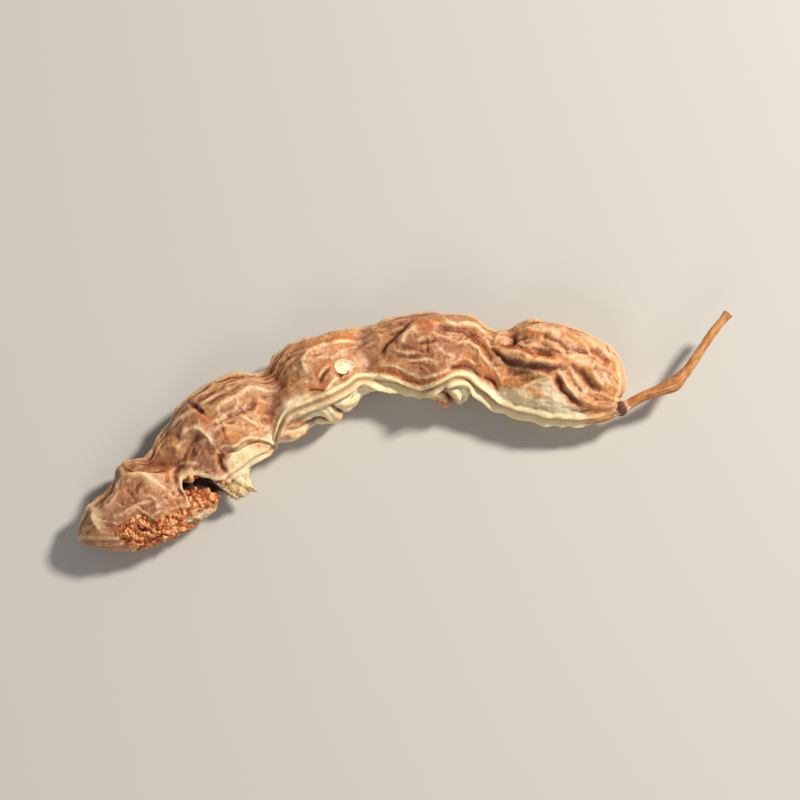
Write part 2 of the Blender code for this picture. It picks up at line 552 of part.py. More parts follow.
def make_stalk(collection):
    """The stalk as a closed mesh: a tapering curve with a joint near the pod and a swollen elbow."""
    line = bpy.data.curves.new("stalk", "CURVE")
    line.dimensions = "3D"
    line.bevel_depth = MM
    line.bevel_resolution = STALK_SIDES
    line.use_fill_caps = True
    route = smooth_path(STALK, STALK_STEPS)
    spline = line.splines.new("POLY")
    spline.points.add(len(route) - 1)
    for point, (x, y, z, radius) in zip(spline.points, route):
        point.co = (x * MM, y * MM, z * MM, 1.0)
        point.radius = radius
    tube = bpy.data.objects.new("stalk_line", line)
    collection.objects.link(tube)
    bpy.context.view_layer.update()
    evaluated = tube.evaluated_get(bpy.context.evaluated_depsgraph_get())
    mesh = bpy.data.meshes.new_from_object(evaluated)
    shape = bmesh.new()
    shape.from_mesh(mesh)
    bmesh.ops.remove_doubles(shape, verts=shape.verts, dist=CAP_WELD * MM)
    bmesh.ops.recalc_face_normals(shape, faces=shape.faces)
    shape.to_mesh(mesh)
    shape.free()
    stalk = bpy.data.objects.new("stalk", mesh)
    stalk.matrix_world = tube.matrix_world
    collection.objects.link(stalk)
    bpy.data.objects.remove(tube)
    return stalk


def grow_together(body, limb):
    """Joins limb to body with a Boolean union, which is applied, and removes limb."""
    union = body.modifiers.new("union", "BOOLEAN")
    union.operation = "UNION"
    union.solver = "EXACT"
    union.object = limb
    bpy.context.view_layer.update()
    evaluated = body.evaluated_get(bpy.context.evaluated_depsgraph_get())
    joined = bpy.data.meshes.new_from_object(evaluated)
    body.modifiers.clear()
    body.data = joined
    bpy.data.objects.remove(limb)


def lay_down(body):
    """Wears the lowest beads flat where they lie, at Z = 0, and centres the pod in plan."""
    mesh = body.data
    points = np.empty(len(mesh.vertices) * 3)
    mesh.vertices.foreach_get("co", points)
    points = points.reshape(-1, 3)
    points[:, 2] = np.maximum(points[:, 2], 0.0)
    middle = (points[:, :2].min(axis=0) + points[:, :2].max(axis=0)) / 2
    points[:, :2] -= middle
    mesh.vertices.foreach_set("co", points.ravel())
    mesh.update()


def dry_skin():
    """The pod's material: dull, waxy, reddish tan."""
    material = bpy.data.materials.new("dry_pod_skin")
    material.use_nodes = True
    shader = material.node_tree.nodes["Principled BSDF"]
    shader.inputs["Base Color"].default_value = SKIN_COLOUR
    shader.inputs["Roughness"].default_value = SKIN_ROUGHNESS
    shader.inputs["Metallic"].default_value = 0.0
    return material


def main():
    """Builds the pod in an empty scene."""
    for thing in list(bpy.data.objects):
        bpy.data.objects.remove(thing)
    collection = bpy.data.collections.new("japanese_pagoda_tree_pod")
    bpy.context.scene.collection.children.link(collection)
    pod = make_skin(collection)
    grow_together(pod, make_stalk(collection))
    lay_down(pod)
    pod.data.materials.clear()
    pod.data.materials.append(dry_skin())
    pod.data.shade_smooth()
    pod.data.set_sharp_from_angle(angle=SMOOTH_SHADING_ANGLE)


main()
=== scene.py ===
"""The finished look of a dried Japanese pagoda tree pod that lies on its flat side.

The skin, the stalk, the crumbs of pulp and a loose flake of skin are modelled here from the same
formulas as the solid pod, on a finer grid and with finer wrinkles, and they take its place.

Sizes below are in millimetres. "Along" is the distance along the pod's spine from its first point.
"Across" is the distance from the spine in plan, positive towards the outer side of the arch. "Level"
is the height above the surface that the pod lies on. An "angle" goes round a section of the pod: 0 at
the outer edge, a quarter turn on top, a half turn at the inner edge.
"""

import math

import bmesh
import bpy
import numpy as np
from mathutils import Matrix, Vector, noise
from mathutils.bvhtree import BVHTree


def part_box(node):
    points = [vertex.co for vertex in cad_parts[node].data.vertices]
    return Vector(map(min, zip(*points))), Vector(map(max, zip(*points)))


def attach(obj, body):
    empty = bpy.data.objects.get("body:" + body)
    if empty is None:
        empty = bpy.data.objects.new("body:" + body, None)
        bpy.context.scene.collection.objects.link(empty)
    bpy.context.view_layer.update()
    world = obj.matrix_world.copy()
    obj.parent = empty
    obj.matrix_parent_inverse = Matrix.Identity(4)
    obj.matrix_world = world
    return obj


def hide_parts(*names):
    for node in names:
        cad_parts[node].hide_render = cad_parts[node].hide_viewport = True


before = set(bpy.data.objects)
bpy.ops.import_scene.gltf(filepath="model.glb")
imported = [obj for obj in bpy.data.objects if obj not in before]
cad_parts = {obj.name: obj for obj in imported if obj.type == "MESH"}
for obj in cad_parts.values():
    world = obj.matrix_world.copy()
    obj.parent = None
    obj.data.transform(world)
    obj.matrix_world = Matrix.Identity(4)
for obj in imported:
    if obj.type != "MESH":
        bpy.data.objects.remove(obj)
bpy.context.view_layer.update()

MM = 0.001
BODY = "root"
NODE = "pod"

# Mesh of the skin: rings are counted along the spine and columns round a section
RINGS = 620
COLUMNS = 158

# The spine in plan, from beyond the tip to beyond the stalk end
SPINE = ((-33.2, -8.3), (-24.9, -5.0), (-14.6, -0.6), (-3.1, 2.1), (9.9, 1.5), (22.1, -4.2), (29.2, -8.9))
TIP_ALONG = 0.8
BASE_ALONG = 65.2
TIP_CAP = 3.4
BASE_CAP = 2.6
POLE_CROWDING = 0.04
SECTION_POWER = 2.25
TANGENT_STEP = 0.5

# (along, across) of the two edges of the plan outline, tip to base
OUTER_EDGE = (
    (0.8, 0.0), (3.0, 0.7), (6.5, 1.2), (9.2, 2.7), (12.0, 2.0), (15.0, 3.1), (19.5, 4.3), (23.2, 4.2),
    (26.3, 3.0), (29.0, 4.0), (34.0, 4.2), (38.5, 3.9), (43.0, 4.4), (47.5, 4.1), (50.8, 3.1),
    (53.2, 4.6), (59.0, 5.3), (62.2, 4.3), (65.2, 2.5),
)
INNER_EDGE = (
    (0.8, -2.4), (3.2, -4.2), (5.8, -5.7), (9.0, -6.6), (13.5, -6.8), (16.6, -6.2), (19.0, -5.4),
    (21.5, -5.2), (24.3, -4.4), (26.2, -5.2), (29.4, -4.5), (32.2, -5.0), (34.9, -3.5), (37.4, -2.9),
    (40.2, -3.1), (42.8, -4.0), (46.4, -5.4), (48.7, -3.8), (51.5, -4.3), (57.0, -4.5), (61.0, -3.9),
    (65.2, -2.4),
)

# (along, height) of the skin over and under the spine's level: thick at a seed, thin at a waist
UPPER_HEIGHT = (
    (0.8, 1.6), (8.0, 3.0), (12.6, 2.1), (19.5, 3.6), (26.2, 2.1), (31.5, 3.3), (37.2, 1.8),
    (44.0, 3.5), (50.6, 2.0), (57.5, 3.7), (65.2, 2.5),
)
UNDER_HEIGHT = (
    (0.8, 1.4), (8.0, 3.2), (12.6, 2.0), (19.5, 2.8), (26.2, 1.9), (31.5, 3.2), (37.2, 1.7),
    (44.0, 3.3), (50.6, 1.9), (57.5, 3.15), (65.2, 2.2),
)
SPINE_LEVEL = 3.02

# The upper side is described as it looks from here: a skin point is "seen" where the line of sight
# through it meets the spine's level. Azimuth is 0 from the inner side and grows towards the stalk.
VIEW_AZIMUTH = math.radians(-14)
VIEW_ELEVATION = math.radians(75)

# The double seam: where it is seen on the upper side, how strongly it stands out there, and how far
# its two lips are from its middle
SEAM = (
    (0.8, -1.4), (5.0, -4.0), (9.0, -5.4), (13.0, -5.6), (17.0, -5.1), (21.0, -4.7), (24.2, -4.2),
    (25.2, -3.5), (26.5, -2.6), (29.0, -2.3), (32.0, -2.3), (34.1, -1.9), (35.8, -1.4), (37.6, -1.9),
    (39.6, -2.4), (41.2, -3.0), (43.4, -3.6), (45.0, -3.35), (46.6, -2.6), (48.2, -2.5), (50.3, -3.3),
    (52.2, -4.1), (56.0, -4.4), (60.0, -4.0), (63.0, -3.2), (65.2, -1.9),
)
SEAM_LIMITS = (math.radians(92), math.radians(171))
SEAM_HALVINGS = 14
SEAM_STRENGTH = ((0.8, 0.3), (12.0, 0.2), (20.0, 0.4), (25.5, 0.9), (38.0, 1.0), (60.0, 1.0), (65.2, 0.5))
LIP_OFFSET = ((0.8, 0.42), (36.0, 0.42), (38.4, 0.66), (41.6, 0.48), (65.2, 0.46))
SEAM_COLUMN_ANGLE = math.radians(135)
CROWDED_ANGLE = math.radians(105)
COLUMN_CROWDING = 0.5
LIP_WIDTH = 0.27
UPPER_LIP_RISE = 0.45
LOWER_LIP_RISE = 0.85
SEAM_SWELL_WIDTH = 1.1
SEAM_SWELL_RISE = 0.3

# The back seam, a single fine ridge just above the outer edge
BACK_SEAM_ANGLE = math.radians(12)
BACK_SEAM_WIDTH = 0.3
BACK_SEAM_RISE = 0.28

# Where the upper and the lower relief begin, by the sine of the section angle, and the share of its full
# thickness at which the pod's round ends have their whole relief
RELIEF_FADE = (-0.1, 0.3)
END_RELIEF = 0.5

# Ridges (rise above zero) and creases (below zero) of the shrunken skin: width, rise, (along, across) path
PATH_STEPS = 4
LINE_FADE = (-0.1, 0.22)
CREST_ROUNDING = 0.09
TENT_LIMIT = 8
TENT_REACH = 1.7
UPPER_LINES = (
    # Bead 1
    (0.40, 0.35, ((4.0, 0.9), (3.7, 0.1), (3.4, -0.9), (3.5, -1.7))),
    (0.45, 0.40, ((4.9, 0.7), (6.4, 0.7), (7.4, 1.1), (8.6, 1.6), (9.2, 2.5))),
    (0.45, 0.40, ((9.1, 1.5), (10.2, 0.9), (10.8, -0.5), (11.4, -2.0))),
    (0.90, -0.55, ((10.6, 2.3), (12.3, 1.0), (13.6, -0.3), (14.0, -1.4))),
    # Bead 2
    (0.35, 0.45, ((20.3, 1.7), (22.0, 2.0), (23.4, 1.8), (24.5, 2.0), (25.9, 1.2), (27.4, 0.4))),
    (0.35, 0.45, ((16.0, 1.2), (17.0, 1.6), (18.2, 1.1), (18.5, 0.0), (18.5, -1.6))),
    (0.35, 0.45, ((19.2, -2.1), (20.5, -2.6), (21.6, -2.4), (22.9, -3.3), (24.6, -4.3))),
    (0.30, 0.30, ((22.6, 0.2), (23.0, -1.0), (23.8, -2.2))),
    (0.30, -0.40, ((18.9, 4.0), (19.2, 3.1), (19.6, 2.2))),
    (0.35, -0.40, ((18.6, -2.5), (17.9, -3.3), (17.7, -4.7))),
    (1.10, -0.60, ((26.6, 3.6), (27.7, 1.6), (26.0, -0.8), (24.9, -3.2))),
    # Bead 3
    (0.40, 0.45, ((31.0, 0.6), (30.9, 2.1), (32.2, 3.0), (34.6, 3.1), (37.0, 2.7))),
    (0.30, 0.30, ((31.7, 0.0), (32.5, 0.5), (33.3, 1.0))),
    (0.35, 0.40, ((31.6, -2.0), (32.8, -1.1), (33.9, -0.6))),
    (0.50, 0.35, ((26.6, -1.3), (28.6, -1.5), (30.6, -1.3))),
    (1.20, -0.45, ((38.2, 4.2), (37.3, 2.2), (37.7, 0.2), (36.6, -1.6))),
    # Bead 4
    (0.35, 0.40, ((37.8, -0.4), (39.8, -0.7), (41.3, -1.6), (42.8, -2.4), (44.4, -2.3), (47.2, -0.9))),
    (0.35, 0.35, ((41.2, 1.4), (41.8, 2.3), (43.0, 3.1))),
    (0.40, 0.50, ((45.0, 3.4), (46.6, 3.3), (48.0, 3.3), (49.2, 2.6), (50.2, 1.6))),
    (0.35, -0.40, ((45.0, 2.9), (47.3, 2.8), (48.6, 2.1), (50.0, 0.9), (50.8, -0.4))),
    (0.30, 0.30, ((46.6, 1.2), (47.9, 1.5), (48.7, 1.2), (49.6, 0.2), (51.0, -1.0))),
    (0.30, -0.30, ((46.0, -1.5), (48.2, -1.2), (49.9, -2.2))),
    # Bead 5
    (0.35, 0.35, ((52.2, 1.1), (53.5, 1.4), (55.2, 1.1), (56.8, 1.3), (58.5, 1.8))),
    (0.35, 0.45, ((57.8, 0.9), (58.1, 0.2), (59.2, -0.7), (61.3, -1.9))),
    (0.40, -0.50, ((57.8, 0.1), (58.5, -1.1), (60.0, -1.9), (61.5, -2.4))),
    (0.30, 0.30, ((61.0, 1.8), (61.8, 1.0), (63.0, 0.4))),
    (0.45, -0.35, ((59.9, 1.9), (60.9, 0.7), (61.9, 0.1), (63.0, -0.2))),
    (0.30, 0.30, ((58.8, 2.2), (60.3, 2.4), (61.4, 2.2))),
    (0.40, 0.40, ((59.2, 4.9), (61.2, 4.3), (63.1, 3.1), (64.2, 1.4), (64.4, -0.6), (63.6, -2.0))),
    (0.45, -0.30, ((60.2, 4.2), (61.4, 3.7), (62.6, 2.9))),
    (0.40, 0.35, ((52.8, -2.8), (54.4, -2.4), (55.3, -1.5), (56.4, -0.8), (57.5, -0.1))),
    (0.35, -0.35, ((50.2, -2.1), (51.2, -2.3), (52.3, -3.4))),
    (0.40, 0.30, ((53.2, 4.0), (54.6, 4.3), (57.0, 4.5))),
)

# Finer ridges and creases that the solid pod leaves out
FINE_UPPER_LINES = (
    (0.20, 0.18, ((4.8, 0.3), (5.8, 0.1), (6.8, 0.4), (7.6, 1.0))),
    (0.20, 0.14, ((5.0, -1.0), (6.4, -1.6), (8.0, -1.5), (9.8, -2.2))),
    (0.25, -0.35, ((9.2, 2.6), (9.5, 1.9), (9.9, 1.3))),
    (0.20, 0.18, ((9.6, -1.2), (9.9, -2.4), (9.4, -3.4))),
    (0.18, 0.18, ((11.2, -2.4), (11.6, -3.3), (12.3, -3.9))),
    (0.20, 0.20, ((12.6, -1.0), (13.8, -0.6), (15.0, -1.2), (15.9, -2.0))),
    (0.18, 0.16, ((14.6, 0.4), (15.6, 0.9), (16.6, 0.8))),
    (0.18, 0.16, ((16.2, -0.8), (17.2, -0.4), (18.4, -0.6))),
    (0.18, 0.22, ((18.8, 1.9), (18.5, 1.0), (18.5, 0.2))),
    (0.18, 0.16, ((18.8, -0.4), (20.2, 0.1), (21.6, -0.6), (22.6, -0.2))),
    (0.18, 0.16, ((19.4, 1.2), (20.4, 0.7), (21.8, 0.9), (23.0, 0.5))),
    (0.18, 0.22, ((23.4, 1.9), (23.0, 1.1), (22.2, 0.6))),
    (0.20, 0.22, ((15.4, 2.7), (17.0, 3.1), (18.4, 3.0), (20.2, 3.3), (22.4, 3.2), (24.6, 2.9))),
    (0.18, -0.20, ((19.0, -2.8), (20.4, -3.2), (22.2, -3.4), (23.6, -4.2))),
    (0.18, 0.14, ((24.4, 0.6), (25.4, 0.1), (26.2, -0.6), (27.4, -0.6))),
    (0.20, 0.18, ((27.8, 2.2), (29.0, 1.6), (30.4, 2.0))),
    (0.18, 0.16, ((28.2, -0.2), (29.6, 0.2), (30.9, 0.0))),
    (0.18, -0.22, ((31.8, -0.5), (32.6, 0.15), (33.4, 0.6))),
    (0.18, -0.18, ((30.2, -0.9), (31.4, -1.2), (32.2, -1.8))),
    (0.20, 0.20, ((32.4, 2.2), (33.8, 1.9), (35.4, 2.1))),
    (0.18, 0.14, ((36.0, 1.4), (36.2, 0.6), (36.6, -0.4))),
    (0.22, 0.22, ((42.6, 1.7), (43.5, 1.85), (44.3, 1.8))),
    (0.18, -0.16, ((42.8, 1.4), (44.0, 1.55), (44.9, 1.6))),
    (0.18, 0.16, ((41.0, -0.2), (42.4, -0.6), (43.8, -0.4), (45.2, -0.8))),
    (0.18, 0.16, ((40.4, 0.9), (41.4, 0.4), (42.6, 0.6))),
    (0.18, 0.16, ((44.8, 0.9), (45.8, 0.2), (46.8, -0.2))),
    (0.20, 0.22, ((47.0, -0.6), (48.2, -0.4), (49.4, -0.9))),
    (0.20, 0.24, ((50.6, 1.9), (51.2, 2.9), (51.9, 3.6))),
    (0.20, 0.22, ((52.8, 2.6), (54.2, 2.4), (55.2, 2.8), (56.4, 2.5))),
    (0.18, -0.20, ((54.8, 2.2), (55.6, 1.9), (56.6, 2.1))),
    (0.18, 0.18, ((57.2, 3.0), (58.2, 2.4), (59.2, 2.8), (60.6, 3.2))),
    (0.20, 0.22, ((58.6, 1.4), (59.5, 0.6), (60.6, -0.3), (61.4, -1.2))),
    (0.18, 0.16, ((53.0, -0.3), (54.4, 0.0), (55.6, -0.3), (56.8, 0.0))),
    (0.18, 0.20, ((55.8, -1.0), (56.6, -1.3), (57.4, -1.0))),
    (0.18, 0.16, ((53.6, -3.3), (55.4, -3.0), (57.4, -3.3), (59.4, -3.2))),
    (0.18, -0.16, ((60.2, -3.2), (61.6, -2.9), (62.8, -2.1))),
    (0.18, 0.18, ((62.0, 2.2), (62.9, 1.3), (63.4, 0.2))),
    (0.18, 0.18, ((51.0, -0.6), (51.8, -1.4), (52.6, -2.2))),
)

# The same for the inner side, over which the skin hangs in pleats below the seam, with one loose flap
PLEAT_FADE = (-0.6, -0.2)
PLEATS = (
    (0.35, 0.35, ((10.4, -5.8), (12.6, -6.4), (14.8, -7.0))),
    (0.35, -0.40, ((28.3, -4.0), (30.0, -4.2), (31.3, -4.7))),
    (0.30, 0.35, ((30.7, -3.0), (31.1, -3.8), (31.7, -5.0))),
    (0.30, 0.30, ((31.5, -3.1), (31.9, -3.8), (32.5, -4.9))),
    (0.30, -0.35, ((32.2, -3.2), (32.7, -4.1), (33.3, -4.7))),
    (0.35, 0.40, ((32.9, -3.4), (34.2, -3.5), (35.6, -3.0))),
    (0.40, -0.70, ((45.7, -3.5), (45.5, -4.2), (46.3, -4.7), (47.1, -5.6))),
    (0.45, 0.60, ((46.5, -3.6), (47.0, -4.3), (47.6, -5.2))),
    (0.40, 0.65, ((48.4, -3.2), (48.1, -4.2), (47.8, -5.3))),
)

# Finer pleats
FINE_PLEATS = (
    (0.22, 0.30, ((17.0, -5.2), (16.9, -6.4), (17.2, -7.6))),
    (0.22, 0.30, ((18.2, -5.3), (18.0, -6.4), (18.2, -7.4))),
    (0.20, -0.35, ((17.6, -5.4), (17.5, -6.6), (17.8, -7.4))),
    (0.25, -0.40, ((18.9, -5.9), (18.9, -6.7))),
    (0.20, 0.25, ((25.8, -4.3), (27.0, -4.8), (28.2, -4.9))),
    (0.20, -0.25, ((26.2, -3.8), (27.4, -4.2), (28.4, -4.1))),
    (0.20, 0.25, ((28.9, -3.4), (29.6, -4.6))),
    (0.18, 0.25, ((33.3, -4.4), (34.4, -4.0), (35.4, -3.4))),
    (0.20, -0.30, ((46.1, -4.3), (46.9, -5.2))),
)

# Folds, where skin has slid over itself: lip rise, lip reach, drop depth, (along, across) path.
# The lip stands on the left of the path and the drop is on its right, with a step between them.
FOLD_STEP = 0.18
FOLD_FADE = (0.0, 0.3)
DROP_REACH = 0.5
UPPER_FOLDS = (
    (0.40, 1.4, 0.30, ((13.0, -0.8), (10.9, 0.5), (9.9, 1.5), (9.0, 2.9))),
    (0.34, 1.5, 0.22, ((43.2, 4.1), (42.0, 3.2), (40.4, 2.0), (39.6, 1.3), (38.9, 0.2))),
    (0.34, 1.0, 0.2, ((50.0, 2.2), (51.2, 0.9), (52.6, 0.35), (54.6, 0.3), (56.0, 0.6), (58.2, 1.1))),
)

# Dents (depth below zero) and swellings of the upper skin: (along, across), reach along, reach across, rise
UPPER_DENTS = (
    (8.6, -0.9, 2.6, 1.6, -0.30),
    (16.2, -0.3, 1.7, 1.5, -0.35),
    (21.0, 0.3, 2.0, 1.4, -0.40),
    (21.6, 3.2, 2.2, 0.7, -0.25),
    (28.8, 0.8, 1.8, 1.4, -0.30),
    (34.4, 1.8, 1.6, 0.9, -0.35),
    (43.4, 0.3, 3.0, 1.8, -0.65),
    (43.9, 3.3, 1.0, 0.6, 0.35),
    (53.8, -0.9, 1.7, 0.8, -0.45),
    (52.3, 2.8, 0.5, 1.0, -0.70),
    (55.7, 2.4, 0.8, 0.6, -0.30),
    (59.8, 3.2, 1.5, 0.8, -0.25),
    (60.8, -0.6, 1.3, 0.6, -0.25),
    (56.5, -2.9, 2.6, 0.8, 0.20),
)

# The hidden side is shrunken the same way
UNDER_LINES = (
    (0.40, 0.35, ((4.2, 0.6), (6.0, -0.8), (8.4, -1.2), (11.0, -0.4))),
    (1.00, -0.55, ((12.9, 3.0), (12.4, 0.4), (13.0, -2.6))),
    (0.40, 0.45, ((14.4, 1.8), (16.8, 2.6), (19.8, 2.2), (22.8, 2.6), (25.0, 1.8))),
    (0.40, -0.40, ((15.2, -1.4), (18.0, -0.6), (20.6, -1.2), (23.6, -0.4))),
    (0.35, 0.35, ((19.2, 1.8), (19.8, 0.2), (19.4, -1.6), (20.2, -3.0))),
    (1.05, -0.60, ((26.4, 3.2), (26.0, 0.2), (26.6, -3.0))),
    (0.45, 0.45, ((28.2, -1.6), (30.6, -0.6), (33.2, -1.0), (35.6, -0.2))),
    (0.40, -0.35, ((29.0, 1.6), (31.4, 2.4), (34.0, 1.8), (36.0, 2.2))),
    (1.05, -0.65, ((37.3, 3.6), (37.5, 0.4), (37.0, -2.4))),
    (0.45, 0.50, ((39.0, 1.0), (41.2, 2.2), (44.2, 2.4), (47.2, 2.0), (49.4, 0.8))),
    (0.40, 0.40, ((39.4, -1.4), (42.0, -2.4), (45.2, -2.8), (48.2, -1.8))),
    (0.35, -0.40, ((42.4, 1.2), (44.4, 0.0), (46.6, 0.4))),
    (0.95, -0.60, ((50.4, 3.0), (50.8, 0.2), (50.4, -3.2))),
    (0.45, -0.50, ((52.0, 0.4), (54.6, -0.6), (57.4, -0.2), (60.0, -1.0))),
    (0.40, 0.45, ((52.8, 2.4), (55.8, 1.8), (58.8, 2.6), (61.8, 1.8))),
    (0.35, 0.35, ((55.0, -2.8), (57.6, -2.2), (60.4, -2.8), (62.6, -1.8))),
)

# The torn side: the edge of the skin over it, as it is seen, how far below the skin the pulp lies, and
# the hollows in the pulp: (along, across), reach along, reach across, depth
TORN_EDGE = (
    (4.2, -2.1), (6.5, -2.2), (8.1, -2.6), (8.6, -3.6), (9.6, -4.3), (11.0, -4.6), (12.1, -5.0),
    (12.7, -3.3), (13.5, -2.2), (14.3, -2.4), (15.3, -3.4), (16.2, -4.5), (17.4, -5.2),
)
TORN_SUNK = 0.35
TORN_HOLLOWS = (
    (5.6, -3.0, 0.6, 0.4, 0.4),
    (7.2, -4.3, 0.8, 0.5, 0.5),
    (13.3, -3.3, 0.7, 0.7, 1.6),
    (14.9, -4.2, 0.8, 0.7, 1.6),
    (15.5, -5.8, 0.55, 1.3, 1.3),
)
TORN_FLOOR = (1.3, 2.3)
TORN_FADE = 1.0
TORN_WALL = 0.55
TORN_LIP_SETBACK = 0.3
TORN_LIP_WIDTH = 0.6
TORN_LIP_RISE = 0.3
DEEPEST_SHARE = 0.6

# (along, reach outwards) of the torn flaps that hang out at the inner edge beside the tear
FLAPS = ((15.4, 0.0), (16.2, 1.5), (17.3, 2.1), (18.4, 1.9), (19.3, 1.1), (20.6, 0.0))
FLAP_WIDTH = 0.5

# Wrinkles too small to draw one by one
WRINKLE_LENGTH = 4.2
WRINKLE_PITCH = 1.9
WRINKLE_RISE = 0.30
WRINKLE_SEED = (7.3, 2.1, 4.7)
SWAY_LENGTH = 9.0
SWAY = 0.9
GIRTH_RADIUS = 4.0
CREST_SLOPE = 2.2
FINE_PITCH = 2.1
COARSE_SHARE = 0.65
FINE_SHARE = 0.35
SEAM_CALM = 0.7

# Steps along and round the skin over which its normal is measured
NORMAL_STEP = 0.05
NORMAL_TURN = 0.01

# Colour marks where they are seen on the upper side: width, strength, (along, across) path. The stain marks
# are partly the skin's real orange-brown stains and partly painted shade below ridges and the seam
STAIN_AND_SHADE_MARKS = (
    (0.60, 0.7, ((5.2, 0.6), (6.6, 0.7), (7.6, 1.2))),
    (0.50, 0.8, ((9.0, 2.1), (9.7, 1.3))),
    (0.60, 0.6, ((11.3, -2.8), (11.6, -3.8))),
    (0.70, 0.8, ((12.3, -0.1), (12.7, -0.9), (13.8, -1.3))),
    (0.50, 0.7, ((18.8, 2.2), (19.8, 0.9))),
    (0.45, 0.8, ((19.8, -1.4), (21.5, -1.9))),
    (0.35, 1.0, ((19.0, 3.7), (19.2, 3.1), (19.5, 2.3))),
    (0.40, 1.0, ((18.5, -2.6), (18.0, -3.2), (17.8, -4.6))),
    (0.50, 0.8, ((22.3, -3.8), (23.5, -4.6))),
    (0.40, 0.9, ((24.8, -1.7), (24.9, -3.3))),
    (0.70, 0.5, ((25.2, 0.6), (24.6, -0.8))),
    (0.45, 0.8, ((30.5, -0.9), (32.0, -1.2))),
    (0.45, 0.6, ((29.4, -1.8), (31.6, -1.8))),
    (0.45, 0.9, ((31.5, 2.9), (34.5, 3.4), (37.0, 3.0))),
    (0.40, 0.7, ((31.6, 0.3), (33.0, 1.1), (33.6, 0.6))),
    (0.45, 1.0, ((26.2, -3.3), (27.4, -3.7), (28.6, -3.9))),
    (0.50, 0.9, ((25.3, -4.3), (27.0, -4.9), (28.2, -5.2))),
    (0.35, 1.0, ((38.2, -1.1), (39.9, -1.5), (41.5, -2.5), (43.4, -2.9), (45.4, -2.2), (47.0, -1.6))),
    (0.30, 0.9, ((39.1, 0.6), (40.4, 2.0), (42.0, 3.2))),
    (0.80, 1.0, ((43.0, 3.8), (43.9, 3.3), (44.7, 2.9))),
    (0.35, 0.7, ((42.7, 1.5), (44.6, 1.6))),
    (0.45, 0.9, ((45.0, 2.9), (47.5, 2.8), (49.0, 1.8), (50.6, 0.6))),
    (0.45, 0.7, ((47.2, -0.4), (49.6, -0.6), (50.8, -1.6))),
    (0.40, 0.9, ((45.6, -3.8), (46.2, -4.8), (47.0, -5.2))),
    (0.35, 1.0, ((44.4, -5.0), (46.4, -5.5))),
    (0.60, 1.0, ((52.4, 1.5), (54.0, 1.8), (56.5, 1.5), (58.3, 1.9))),
    (0.45, 1.0, ((53.6, 4.1), (54.4, 3.6), (55.0, 3.9))),
    (0.35, 0.9, ((55.4, 2.5), (56.0, 2.2))),
    (0.45, 1.0, ((51.8, 3.4), (52.4, 2.6), (52.3, 1.7))),
    (0.50, 0.9, ((57.9, 0.4), (58.6, -1.1), (60.0, -2.0), (61.6, -2.4))),
    (0.55, 1.0, ((60.0, 1.9), (61.0, 0.6), (62.8, -0.1))),
    (0.55, 0.9, ((60.3, 4.4), (61.4, 3.8), (62.5, 3.1), (63.5, 2.4))),
    (0.45, 0.8, ((50.0, -2.1), (51.2, -2.3), (52.3, -3.3))),
    (0.60, 0.8, ((55.2, -2.0), (57.0, -2.6))),
    (0.50, 0.7, ((51.6, -1.2), (52.6, -2.4))),
    (0.40, 0.8, ((62.8, -2.6), (63.8, -1.8), (64.2, -0.9))),
)
# Mostly painted shade in creases, slits and under folds, with a few real dark spots
DARK_SPOTS_AND_SHADE = (
    (0.22, 0.9, ((9.2, 2.5), (9.5, 1.9), (9.9, 1.4))),
    (0.25, 0.9, ((19.0, 3.7), (19.2, 3.1), (19.5, 2.3))),
    (0.22, 0.8, ((18.3, -2.9), (17.9, -3.6), (17.8, -4.5))),
    (0.25, 1.0, ((18.9, -5.9), (18.9, -6.6))),
    (0.20, 0.8, ((17.6, -5.4), (17.5, -6.6))),
    (0.20, 0.6, ((23.0, -3.6), (24.0, -4.5))),
    (0.18, 0.8, ((31.8, -0.4), (32.6, 0.2), (33.3, 0.6))),
    (0.22, 0.9, ((28.8, -4.0), (30.0, -4.2), (31.0, -4.6))),
    (0.20, 0.9, ((32.1, -3.2), (32.5, -4.1), (33.0, -4.4))),
    (0.26, 1.0, ((39.1, 0.6), (39.6, 1.3), (40.4, 2.0), (41.2, 2.6), (42.0, 3.2), (42.8, 3.8))),
    (0.12, 0.9, ((43.8, 1.75), (44.0, 1.75))),
    (0.12, 0.9, ((44.6, 1.8), (44.8, 1.8))),
    (0.12, 0.9, ((44.3, -1.05), (44.4, -1.1))),
    (0.16, 0.8, ((46.2, -1.5), (47.2, -1.2), (48.4, -1.2), (49.0, -1.6), (49.7, -2.1))),
    (0.22, 0.7, ((45.0, 2.7), (47.5, 2.5), (49.0, 1.5))),
    (0.25, 1.0, ((45.3, -4.2), (45.9, -3.4))),
    (0.20, 1.0, ((46.1, -4.3), (46.9, -5.1))),
    (0.36, 1.0, ((50.9, 1.05), (51.6, 0.5), (52.4, 0.35), (53.4, 0.35), (54.6, 0.3))),
    (0.24, 1.0, ((54.0, 0.3), (55.2, 0.4), (56.0, 0.6), (57.0, 0.75), (57.8, 0.95))),
    (0.30, 1.0, ((52.0, 3.4), (52.4, 2.9), (52.5, 2.2), (52.3, 1.7))),
    (0.22, 0.9, ((57.9, 0.1), (58.0, -0.6), (58.6, -1.2), (59.4, -1.7), (60.3, -2.0))),
    (0.14, 0.9, ((58.6, 0.55), (58.8, 0.55))),
    (0.14, 0.9, ((52.6, -0.5), (52.8, -0.5))),
    (0.22, 0.8, ((60.2, 1.6), (61.0, 0.5), (62.0, 0.0))),
    (0.20, 0.7, ((65.0, -0.8), (64.4, -1.6), (64.0, -2.0))),
)
